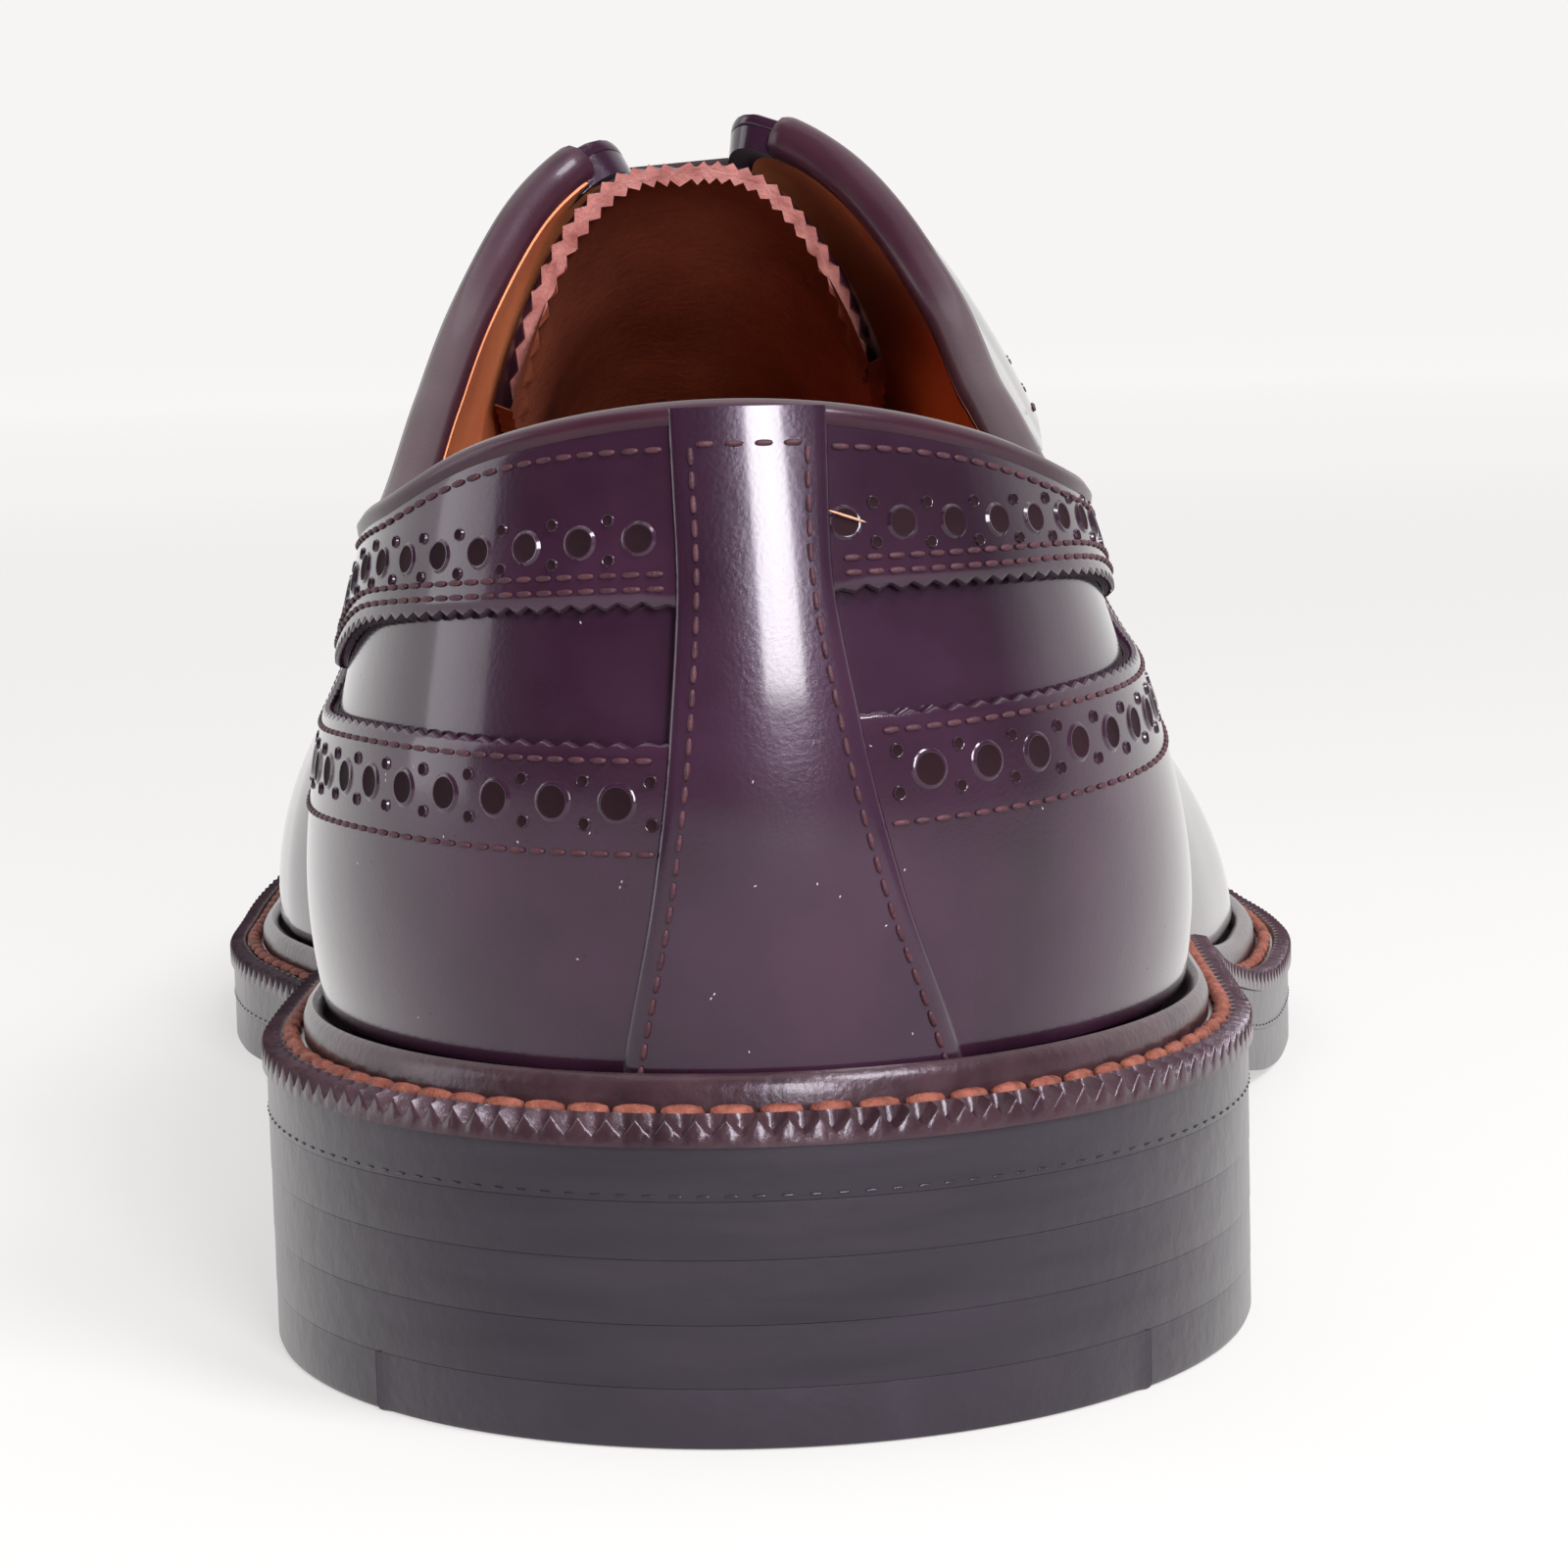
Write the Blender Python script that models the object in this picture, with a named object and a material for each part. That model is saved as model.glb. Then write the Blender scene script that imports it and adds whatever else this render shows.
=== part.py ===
# Longwing brogue, right shoe, standing empty on its sole.
# Lengths are in metres. The toe points to +Y, the outer side of the foot to +X, and +Z is up.
# The origin lies on the floor, under the middle of the outsole's box.
import bmesh
import bpy
import math
import numpy as np

# Driving sizes of the bottom
OUTSOLE_LENGTH = 0.318
BALL_WIDTH = 0.122
HEEL_WIDTH = 0.083
HEEL_ROUND = 0.053
HEEL_LENGTH = 0.079
TOE_ROUND = 0.073
TOP_PIECE_THICKNESS = 0.0046
RUBBER_LENGTH = 0.017
LIFT_THICKNESS = 0.00445
LIFT_COUNT = 2
HEEL_TAPER = 0.0003
OUTSOLE_THICKNESS = 0.0043
MIDSOLE_THICKNESS = 0.0036
WELT_THICKNESS = 0.0024
WELT_WIDTH = 0.0069
BEAD_WIDTH = 0.0026
BEAD_HEIGHT = 0.0026
SOLE_EDGE_STEP = 0.0004
TOE_SPRING = 0.0115

# Driving sizes of the top, heights above the floor
INSTEP_HEIGHT = 0.1024
UPPER_WALL = 0.0020
OVERLAY_THICKNESS = 0.0012
STRIP_RISE = 0.0006
TONGUE_THICKNESS = 0.0018
INSOLE_THICKNESS = 0.0030
FACING_GAP_TOP = 0.0112
FACING_GAP_LOW = 0.0060
LACE_THICKNESS = 0.0024
EYELET_COUNT = 5
EYELET_INSET = 0.0090

# Clearances between pieces, and the shortest step between ribs
SEAT_GAP = 0.0003
OVERLAY_GAP = 0.0004
TONGUE_GAP = 0.0008
INSOLE_GAP = 0.0009
TONGUE_SLACK = 0.0060
MIN_STEP = 0.0010

# How square the toe is in plan: 2 is an ellipse
TOE_FULLNESS = 2.5

# How late the ribs lean over as they rise, and how far the outer facing lifts for its spread
LEAN_POWER = 1.6
OUTER_LIFT = 0.016

# Fineness of the ring of ribs and of the wall's rows: wing, quarter, then collar or facing
HEEL_STEPS = 12
TOE_STEPS = 9
WING_ROWS = 6
QUARTER_ROWS = 1
PANEL_ROWS = 4
STRIP_COLUMNS = 8
TONGUE_COLUMNS = 6


def table(names, *rows):
    """Named columns of a short table, each an array with one value for each row."""
    return dict(zip(names, np.array(rows, dtype=float).T))


# Plan of the outsole. Stations are shares of the length; the half width is a share of half the heel
# width plus a share of half the ball width; the centre line is a share of half the ball width.
PLAN = table(
    ("station", "heel", "ball", "centre"),
    (0.000, 1.00, 0.000, 0.000),
    (0.167, 1.00, 0.000, 0.000),
    (0.250, 0.97, 0.015, 0.005),
    (0.330, 0.72, 0.175, 0.035),
    (0.410, 0.42, 0.405, 0.070),
    (0.487, 0.18, 0.660, 0.074),
    (0.566, 0.04, 0.885, 0.038),
    (0.629, 0.00, 0.985, -0.004),
    (0.676, 0.00, 1.000, -0.030),
    (0.740, 0.00, 0.980, -0.055),
    (0.800, 0.00, 0.935, -0.082),
    (0.865, 0.00, 0.875, -0.098),
    (0.930, 0.00, 0.790, -0.110),
    (1.000, 0.00, 0.690, -0.118),
)

# Height of the outsole's underside between the heel breast and the toe: shares of the heel's height
# and of the toe spring.
PROFILE = table(
    ("station", "heel", "spring"),
    (0.000, 1.000, 0.000),
    (0.262, 1.000, 0.000),
    (0.310, 0.920, 0.000),
    (0.380, 0.640, 0.000),
    (0.450, 0.280, 0.000),
    (0.510, 0.050, 0.000),
    (0.550, 0.000, 0.000),
    (0.700, 0.000, 0.000),
    (0.780, 0.000, 0.120),
    (0.860, 0.000, 0.380),
    (0.930, 0.000, 0.690),
    (1.000, 0.000, 1.000),
)

# Ribs of the last, from the feather edge over to the ridge. Each rib is one cubic curve: its knots'
# distances from the spine are shares of the distance at the feather edge, their heights are shares
# of the rib's own height. Top is the ridge's height as a share of the instep height, lean is the
# ridge's shift towards the inner side of the foot as a share of half the heel width, and spread is
# what the outer side adds to its shoulder.
RIBS = table(
    ("station", "belly", "belly_up", "shoulder", "shoulder_up", "crown", "top", "lean", "spread"),
    (0.000, 1.130, 0.29, 0.960, 0.67, 0.820, 1.000, 0.040, 0.000),
    (0.060, 1.180, 0.30, 0.910, 0.62, 0.760, 1.000, 0.050, 0.000),
    (0.167, 1.260, 0.32, 0.720, 0.53, 0.590, 1.010, 0.070, -0.090),
    (0.250, 1.260, 0.34, 0.705, 0.64, 0.450, 1.030, 0.115, -0.105),
    (0.308, 1.200, 0.35, 0.750, 0.82, 0.240, 1.025, 0.170, -0.025),
    (0.355, 1.150, 0.36, 0.720, 1.00, 0.000, 1.000, 0.215, 0.085),
    (0.410, 1.110, 0.38, 0.650, 1.00, 0.000, 0.908, 0.270, 0.030),
    (0.475, 1.080, 0.40, 0.600, 1.00, 0.000, 0.812, 0.300, 0.000),
    (0.540, 1.080, 0.41, 0.570, 1.00, 0.000, 0.722, 0.300, 0.000),
    (0.600, 1.090, 0.42, 0.560, 1.00, 0.000, 0.645, 0.270, 0.000),
    (0.660, 1.090, 0.45, 0.570, 1.00, 0.000, 0.577, 0.220, 0.000),
    (0.720, 1.080, 0.50, 0.590, 1.00, 0.000, 0.526, 0.160, 0.000),
    (0.770, 1.060, 0.55, 0.620, 1.00, 0.000, 0.492, 0.110, 0.000),
    (1.000, 1.030, 0.60, 0.680, 1.00, 0.000, 0.492, 0.060, 0.000),
)

# Edges of the panels as shares of each rib's own curve, from the feather edge to the ridge.
COLLAR_EDGE = table(
    ("station", "outer", "inner"),
    (0.000, 0.689, 0.689),
    (0.030, 0.666, 0.666),
    (0.080, 0.632, 0.624),
    (0.150, 0.618, 0.612),
    (0.200, 0.632, 0.634),
    (0.250, 0.655, 0.665),
    (0.300, 0.680, 0.690),
    (0.318, 0.710, 0.714),
    (0.333, 0.755, 0.755),
    (0.345, 0.805, 0.800),
    (0.352, 0.860, 0.850),
)
WING_EDGE = table(
    ("station", "outer", "inner"),
    (0.000, 0.410, 0.391),
    (0.090, 0.445, 0.412),
    (0.150, 0.474, 0.420),
    (0.190, 0.495, 0.438),
    (0.260, 0.475, 0.430),
    (0.355, 0.410, 0.395),
    (0.450, 0.370, 0.370),
    (0.520, 0.390, 0.390),
    (0.570, 0.450, 0.450),
    (0.620, 0.580, 0.580),
    (0.655, 0.740, 0.740),
    (0.680, 0.860, 0.860),
    (0.700, 1.000, 1.000),
)
# Lower edge of the collar panels, then of the facings
PANEL_EDGE = table(
    ("station", "outer", "inner"),
    (0.000, 0.520, 0.511),
    (0.080, 0.535, 0.507),
    (0.135, 0.520, 0.470),
    (0.165, 0.512, 0.455),
    (0.178, 0.522, 0.475),
    (0.188, 0.560, 0.535),
    (0.195, 0.600, 0.605),
    (0.230, 0.610, 0.610),
    (0.272, 0.600, 0.600),
    (0.285, 0.560, 0.540),
    (0.310, 0.510, 0.470),
    (0.355, 0.490, 0.440),
    (0.450, 0.480, 0.470),
    (0.520, 0.510, 0.510),
    (0.575, 0.590, 0.590),
    (0.600, 0.680, 0.680),
    (0.640, 0.820, 0.820),
    (0.700, 1.000, 1.000),
)
TONGUE_EDGE = table(
    ("station", "outer", "inner"),
    (0.335, 0.640, 0.600),
    (0.345, 0.610, 0.555),
    (0.380, 0.600, 0.540),
    (0.500, 0.620, 0.590),
    (0.600, 0.680, 0.680),
    (0.640, 0.740, 0.740),
)

# Half width of the back strip as a share of half the heel width, and its centre line towards the
# outer side, at shares of the back rib.
STRIP = table(
    ("share", "half_width", "centre"),
    (0.000, 0.340, 0.075),
    (0.100, 0.300, 0.067),
    (0.250, 0.228, 0.052),
    (0.400, 0.175, 0.038),
    (0.560, 0.142, 0.024),
    (0.695, 0.146, 0.020),
)

# Stations of the throat, as shares of the length
COLLAR_BEND = 0.308
FACING_TOP = 0.355
FACING_TURN = 0.376
FIRST_EYELET = 0.392
LAST_EYELET = 0.562
COLLAR_FRONT = 0.352
THROAT = 0.598
TONGUE_TOP = 0.337
TONGUE_ROOT = 0.640
COLLAR_PANEL_FRONT = 0.195
FACING_BACK = 0.272
FACING_FRONT = 0.594

OUTER = 1
INNER = -1
SIDE_NAMES = {OUTER: "outer", INNER: "inner"}
FACING_CORNER = {OUTER: 0.0045, INNER: 0.0065}


def smooth(curve, column, where):
    """Monotone cubic through a table's column: the slopes are harmonic means of the spans' slopes."""
    knots = curve["station"] if "station" in curve else curve["share"]
    values = curve[column]
    where = np.clip(np.asarray(where, dtype=float), knots[0], knots[-1])
    steps = np.diff(knots)
    rises = np.diff(values) / steps
    slopes = np.zeros_like(values)
    for k in range(1, len(values) - 1):
        if rises[k - 1] * rises[k] > 0:
            slopes[k] = 2 * rises[k - 1] * rises[k] / (rises[k - 1] + rises[k])
    slopes[0] = rises[0]
    slopes[-1] = rises[-1]
    span = np.clip(np.searchsorted(knots, where, side="right") - 1, 0, len(steps) - 1)
    u = (where - knots[span]) / steps[span]
    width = steps[span]
    return ((1 + 2 * u) * (1 - u) ** 2 * values[span] + u * (1 - u) ** 2 * width * slopes[span]
            + u ** 2 * (3 - 2 * u) * values[span + 1] + u ** 2 * (u - 1) * width * slopes[span + 1])


def heel_height():
    """Height of the outsole's underside over the heel: top piece, lifts and their gaps."""
    return TOP_PIECE_THICKNESS + LIFT_COUNT * LIFT_THICKNESS + (LIFT_COUNT + 1) * SEAT_GAP


def sole_height(along):
    """Height of the outsole's underside at a distance from the back of the heel."""
    share = along / OUTSOLE_LENGTH
    return heel_height() * smooth(PROFILE, "heel", share) + TOE_SPRING * smooth(PROFILE, "spring", share)


def midsole_seat():
    """Height of the midsole's underside over the outsole's underside."""
    return OUTSOLE_THICKNESS + SEAT_GAP


def upper_seat():
    """Height of what stands on the midsole, over the outsole's underside."""
    return midsole_seat() + MIDSOLE_THICKNESS + SEAT_GAP


def outline(side, along):
    """Plan of the outsole: x at a distance from the back. The ends are rounded by ellipse arcs."""
    share = along / OUTSOLE_LENGTH
    half = (HEEL_WIDTH * smooth(PLAN, "heel", share) + BALL_WIDTH * smooth(PLAN, "ball", share)) / 2
    centre = smooth(PLAN, "centre", share) * BALL_WIDTH / 2
    back = np.clip(1 - along / HEEL_ROUND, 0, 1)
    front = np.clip((along - (OUTSOLE_LENGTH - TOE_ROUND)) / TOE_ROUND, 0, 1)
    half = half * np.sqrt(np.clip(1 - back ** 2, 0, 1)) * np.sqrt(np.clip(1 - front ** TOE_FULLNESS, 0, 1))
    return centre + side * half


def ring_places():
    """Distances from the back where the ribs stand: even steps round the heel and toe."""
    length = OUTSOLE_LENGTH
    heel = HEEL_ROUND * (1 - np.cos(np.linspace(0, math.pi / 2, HEEL_STEPS + 1)))
    toe_start = length - TOE_ROUND
    turn = np.linspace(0, math.pi / 2, TOE_STEPS + 1)
    toe = toe_start + TOE_ROUND * np.sin(turn)
    named = [
        (HEEL_ROUND, COLLAR_BEND * length, 4),
        (COLLAR_BEND * length, COLLAR_FRONT * length, 5),
        (FACING_TOP * length, FACING_TURN * length, 3),
        (FACING_TURN * length, FACING_FRONT * length, 6),
        (THROAT * length, toe_start, 3),
    ]
    places = list(heel[:-1])
    for start, end, steps in named:
        places.extend(np.linspace(start, end, steps + 1))
    places.extend(toe)
    places = sorted(places)
    kept = [places[0]]
    for place in places[1:]:
        if place - kept[-1] > 0.0003:
            kept.append(place)
    kept[-1] = length
    return np.array(kept)


def spine(along):
    """Point in plan that a rib turns about: the heel's centre, the centre line or the toe's centre."""
    start = HEEL_ROUND
    end = OUTSOLE_LENGTH - TOE_ROUND
    held = np.clip(along, start, end)
    centre = smooth(PLAN, "centre", held / OUTSOLE_LENGTH) * BALL_WIDTH / 2
    return centre, held


def edge_point(side, along, inset):
    """Outline point moved inwards along the outline's own normal in plan."""
    small = 0.0002
    length = OUTSOLE_LENGTH
    if along < small:
        tangent = np.array([side, 0.0])
    elif along > length - small:
        tangent = np.array([-side, 0.0])
    else:
        reach = min(small, along, length - along)
        rise = outline(side, along + reach) - outline(side, along - reach)
        tangent = np.array([rise, 2 * reach])
    tangent = tangent / np.linalg.norm(tangent)
    outward = np.array([tangent[1], -tangent[0]]) * side
    return np.array([outline(side, along), along]) - inset * outward


class Rib:
    """One rib: a cubic curve in a standing plane from the feather edge up to the ridge."""

    def __init__(self, side, along):
        share = along / OUTSOLE_LENGTH
        foot = edge_point(side, along, WELT_WIDTH)
        spread = float(smooth(RIBS, "spread", share)) if side == OUTER else 0.0
        centre, held = spine(along)
        self.spine = np.array([centre, held])
        reach = foot - self.spine
        self.radius = np.linalg.norm(reach)
        self.outward = reach / self.radius
        self.low = float(sole_height(foot[1])) + upper_seat()
        self.high = float(smooth(RIBS, "top", share)) * INSTEP_HEIGHT + OUTER_LIFT * max(spread, 0.0)
        self.lean = float(smooth(RIBS, "lean", share)) * HEEL_WIDTH / 2
        tall = self.high - self.low
        self.knots = np.array([
            (self.radius, self.low),
            (self.radius * smooth(RIBS, "belly", share),
             self.low + tall * smooth(RIBS, "belly_up", share)),
            (self.radius * (smooth(RIBS, "shoulder", share) + spread),
             self.low + tall * smooth(RIBS, "shoulder_up", share)),
            (self.radius * smooth(RIBS, "crown", share), self.high),
        ], dtype=float)

    def flat(self, share, inset):
        """Distance from the spine and height, moved inwards along the curve's normal."""
        t = float(share)
        a, b, c, d = self.knots
        point = (1 - t) ** 3 * a + 3 * t * (1 - t) ** 2 * b + 3 * t ** 2 * (1 - t) * c + t ** 3 * d
        slope = (1 - t) ** 2 * (b - a) + 2 * t * (1 - t) * (c - b) + t ** 2 * (d - c)
        slope = slope / np.linalg.norm(slope)
        inward = np.array([-slope[1], slope[0]])
        return point + inset * inward

    def point(self, share, inset=0.0):
        """Point in space on the rib, leaning towards the inner side as it rises."""
        out, height = self.flat(share, inset)
        height = max(height, self.low)
        rise = np.clip((height - self.low) / (self.high - self.low), 0, 1)
        x, y = self.spine + self.outward * out
        return np.array([x - self.lean * rise ** LEAN_POWER, y, height])

    def share_at(self, height):
        """Share of the curve where it first reaches a height."""
        shares = np.linspace(0, 1, 101)
        heights = np.array([self.flat(t, 0.0)[1] for t in shares])
        return float(np.interp(height, heights, shares))


def rib(side, along):
    """The rib at a side and a distance from the back, kept once it is made."""
    key = (side, round(float(along), 7))
    if key not in RIB_STORE:
        RIB_STORE[key] = Rib(side, float(along))
    return RIB_STORE[key]


RIB_STORE = {}


def ring(places):
    """Sides and distances once round the shoe: outer side from back to toe, inner side back again."""
    sides = [(OUTER, place) for place in places]
    sides += [(INNER, place) for place in places[-2:0:-1]]
    return sides


def facing_half_gap(share):
    """Half of the opening between the two facings at a station."""
    u = np.clip((share - FACING_TOP) / (THROAT - FACING_TOP), 0, 1)
    return (FACING_GAP_TOP * (1 - u) + FACING_GAP_LOW * u) / 2


def facing_corner(side, share):
    """How far a facing's rounded top corner stands back from its edge."""
    radius = FACING_CORNER[side]
    short = radius - (share - FACING_TOP) * OUTSOLE_LENGTH
    if short <= 0:
        return 0.0
    return radius - math.sqrt(radius ** 2 - min(short, radius) ** 2)


def opening_share(side, along):
    """Share of the rib where the upper's top edge lies: topline, facing edge or the closed ridge."""
    share = along / OUTSOLE_LENGTH
    if share >= THROAT - 0.0001:
        return 1.0
    if share <= COLLAR_FRONT + 0.0001:
        return float(smooth(COLLAR_EDGE, SIDE_NAMES[side], share))
    here = rib(side, along)
    wanted = facing_half_gap(share) + facing_corner(side, share)
    shares = np.linspace(0.5, 1, 201)
    outs = np.array([here.flat(t, 0.0)[0] for t in shares])
    return float(np.interp(-wanted, -outs, shares))


def clean_mesh(name, points, faces):
    """Closed mesh from points and faces, with doubles merged and faces turned outwards."""
    mesh = bpy.data.meshes.new(name)
    mesh.from_pydata([tuple(p) for p in points], [], faces)
    work = bmesh.new()
    work.from_mesh(mesh)
    bmesh.ops.remove_doubles(work, verts=work.verts, dist=0.00002)
    bmesh.ops.dissolve_degenerate(work, edges=work.edges, dist=0.00001)
    bmesh.ops.triangulate(work, faces=[f for f in work.faces if len(f.verts) > 3])
    bmesh.ops.recalc_face_normals(work, faces=work.faces)
    work.to_mesh(mesh)
    work.free()
    return mesh


def place_object(name, mesh, material):
    """Link a mesh as an object, shaded smooth apart from its sharp edges."""
    mesh.shade_smooth()
    mesh.set_sharp_from_angle(angle=math.radians(35))
    mesh.materials.append(material)
    made = bpy.data.objects.new(name, mesh)
    bpy.context.scene.collection.objects.link(made)
    return made


def to_world(point):
    """From distances to the heel's back and axis to the part's own frame."""
    x, along, height = point
    return (x - X_MIDDLE, along - OUTSOLE_LENGTH / 2, height)


def outline_middle():
    """Middle of the outline's box in x."""
    places = ring_places()
    return float((outline(OUTER, places).max() + outline(INNER, places).min()) / 2)


X_MIDDLE = outline_middle()


def shell(name, outer_rows, inner_rows, closed_round, material, rim_top=True):
    """Solid between two grids of points. Each grid is a list of columns, low to high."""
    columns = len(outer_rows)
    rows = len(outer_rows[0])
    points = [to_world(p) for column in outer_rows for p in column]
    points += [to_world(p) for column in inner_rows for p in column]
    inner_start = columns * rows

    def outer_at(i, j):
        return (i % columns) * rows + j

    def inner_at(i, j):
        return inner_start + (i % columns) * rows + j

    faces = []
    spans = columns if closed_round else columns - 1
    for i in range(spans):
        for j in range(rows - 1):
            faces.append((outer_at(i, j), outer_at(i + 1, j), outer_at(i + 1, j + 1), outer_at(i, j + 1)))
            faces.append((inner_at(i, j), inner_at(i, j + 1), inner_at(i + 1, j + 1), inner_at(i + 1, j)))
        faces.append((outer_at(i, 0), inner_at(i, 0), inner_at(i + 1, 0), outer_at(i + 1, 0)))
        if rim_top is True or (rim_top and rim_top(i, (i + 1) % columns)):
            top = rows - 1
            faces.append((outer_at(i, top), outer_at(i + 1, top), inner_at(i + 1, top), inner_at(i, top)))
    if not closed_round:
        for end in (0, columns - 1):
            for j in range(rows - 1):
                faces.append((outer_at(end, j), outer_at(end, j + 1), inner_at(end, j + 1), inner_at(end, j)))
    return place_object(name, clean_mesh(name, points, faces), material)


def slab(name, places, side_point, low, high, material):
    """Sole layer: rungs run from side to side at each place, between a lower and an upper height.
    An end of no width closes to a point, any other end is a flat face."""
    rungs = [(side_point(OUTER, place), side_point(INNER, place)) for place in places]
    points = []
    for level in (low, high):
        for outer, inner in rungs:
            points.append(to_world((outer[0], outer[1], level(outer[1]))))
            points.append(to_world((inner[0], inner[1], level(inner[1]))))
    count = len(rungs)
    upper = 2 * count
    faces = []
    for k in range(count - 1):
        a = 2 * k
        b = 2 * (k + 1)
        faces.append((a, a + 1, b + 1, b))
        faces.append((upper + a, upper + b, upper + b + 1, upper + a + 1))
        faces.append((a, b, upper + b, upper + a))
        faces.append((a + 1, upper + a + 1, upper + b + 1, b + 1))
    for k in (0, count - 1):
        outer, inner = rungs[k]
        if np.linalg.norm(outer - inner) > SEAT_GAP:
            faces.append((2 * k, 2 * k + 1, upper + 2 * k + 1, upper + 2 * k))
    return place_object(name, clean_mesh(name, points, faces), material)


def leather(name, colour, roughness):
    """Plain material of one finish."""
    made = bpy.data.materials.new(name)
    made.use_nodes = True
    shader = made.node_tree.nodes["Principled BSDF"]
    shader.inputs["Base Color"].default_value = (*colour, 1.0)
    shader.inputs["Roughness"].default_value = roughness
    shader.inputs["Metallic"].default_value = 0.0
    return made


def make_heel():
    """Top piece with its rubber back, and the lifts over it, each a flat slab of the heel's plan."""
    heights = [(0.0, TOP_PIECE_THICKNESS)]
    for k in range(LIFT_COUNT):
        low = heights[-1][1] + SEAT_GAP
        heights.append((low, low + LIFT_THICKNESS))
    places = ring_places()

    def level(value):
        return lambda along: value

    def tapered(height):
        inset = SOLE_EDGE_STEP + HEEL_TAPER * (1 - height / heel_height())
        return lambda side, along: edge_point(side, along, inset)

    def cut_off(start, end):
        return [start] + [p for p in places if start + MIN_STEP < p < end - MIN_STEP] + [end]

    low, high = heights[0]
    slab("heel_top_rubber", cut_off(0.0, RUBBER_LENGTH), tapered(low), level(low), level(high),
         leather("black_rubber", (0.02, 0.018, 0.02), 0.6))
    slab("heel_top_leather", cut_off(RUBBER_LENGTH + SEAT_GAP, HEEL_LENGTH), tapered(low),
         level(low), level(high), leather("top_piece_leather", (0.05, 0.03, 0.04), 0.5))
    for k, (low, high) in enumerate(heights[1:]):
        slab(f"heel_lift_{k + 1}", cut_off(0.0, HEEL_LENGTH), tapered(low), level(low), level(high),
             leather(f"lift_leather_{k + 1}", (0.04, 0.024, 0.034), 0.45))


def make_soles():
    """Outsole and midsole: layers of the full plan that follow heel, arch, ball and toe spring."""
    places = ring_places()

    def trimmed(side, along):
        return edge_point(side, along, SOLE_EDGE_STEP)

    outsole_top = OUTSOLE_THICKNESS
    slab("outsole", places, trimmed, sole_height, lambda along: sole_height(along) + outsole_top,
         leather("outsole_leather", (0.045, 0.026, 0.036), 0.42))
    low = midsole_seat()
    slab("midsole", places, trimmed, lambda along: sole_height(along) + low,
         lambda along: sole_height(along) + low + MIDSOLE_THICKNESS,
         leather("midsole_leather", (0.045, 0.026, 0.036), 0.42))


def make_insole():
    """Insole: fills the ring inside the upper's wall, on the midsole."""
    places = ring_places()
    inset = OVERLAY_THICKNESS + OVERLAY_GAP + UPPER_WALL + INSOLE_GAP

    def inside(side, along):
        return edge_point(side, along, WELT_WIDTH + inset)

    low = upper_seat()
    slab("insole", places, inside, lambda along: sole_height(along) + low,
         lambda along: sole_height(along) + low + INSOLE_THICKNESS,
         leather("insole_leather", (0.42, 0.20, 0.09), 0.6))


def make_welt():
    """Storm welt: a flat strip round the whole shoe with a rolled bead against the upper."""
    columns = []
    for side, along in ring(ring_places()):
        here = rib(side, along)
        edge = edge_point(side, along, 0.0)
        foot = edge_point(side, along, WELT_WIDTH)
        across = (edge - foot) / np.linalg.norm(edge - foot)
        base = float(sole_height(edge[1])) + upper_seat()
        flat_top = base + WELT_THICKNESS
        bead_top = flat_top + BEAD_HEIGHT
        crowd = here.flat(here.share_at(bead_top), 0.0)[0] - here.radius
        inner_low = SEAT_GAP
        inner_high = SEAT_GAP + max(crowd, 0.0)
        bead_out = inner_high + BEAD_WIDTH
        profile = [
            (inner_low, base),
            (WELT_WIDTH, base),
            (WELT_WIDTH, flat_top - 0.0003),
            (WELT_WIDTH - 0.0004, flat_top),
            (bead_out, flat_top),
            (bead_out - 0.15 * BEAD_WIDTH, flat_top + 0.7 * BEAD_HEIGHT),
            (bead_out - 0.5 * BEAD_WIDTH, bead_top),
            (inner_high, flat_top + 0.72 * BEAD_HEIGHT),
        ]
        columns.append([(*(foot + across * out), height) for out, height in profile])
    rows = len(columns[0])
    count = len(columns)
    points = [to_world(p) for column in columns for p in column]
    faces = []
    for i in range(count):
        for j in range(rows):
            a = i * rows + j
            b = ((i + 1) % count) * rows + j
            c = ((i + 1) % count) * rows + (j + 1) % rows
            d = i * rows + (j + 1) % rows
            faces.append((a, b, c, d))
    place_object("welt", clean_mesh("welt", points, faces),
                 leather("welt_leather", (0.16, 0.045, 0.06), 0.35))


def bead_share(side, along):
    """Share of the rib just over the welt's bead."""
    here = rib(side, along)
    return here.share_at(here.low + WELT_THICKNESS + BEAD_HEIGHT + SEAT_GAP)


def wall_shares(side, along):
    """Shares of the wall's rows: feather, bead, up to the wing's edge, the panel's edge and the top.
    The upper and its overlays share these rows, so that their facets stay apart."""
    station = along / OUTSOLE_LENGTH
    name = SIDE_NAMES[side]
    low = bead_share(side, along)
    top = opening_share(side, along)
    wing = min(float(smooth(WING_EDGE, name, station)), top)
    panel = float(np.clip(smooth(PANEL_EDGE, name, station), wing, top))
    marks = [0.0, low, wing, panel, top]
    rows = [1, WING_ROWS, QUARTER_ROWS, PANEL_ROWS]
    shares = [0.0]
    for start, end, count in zip(marks, marks[1:], rows):
        shares.extend(np.linspace(start, end, count + 1)[1:])
    return np.array(shares)


WING_ROW = 1
PANEL_ROW = 1 + WING_ROWS + QUARTER_ROWS


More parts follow.
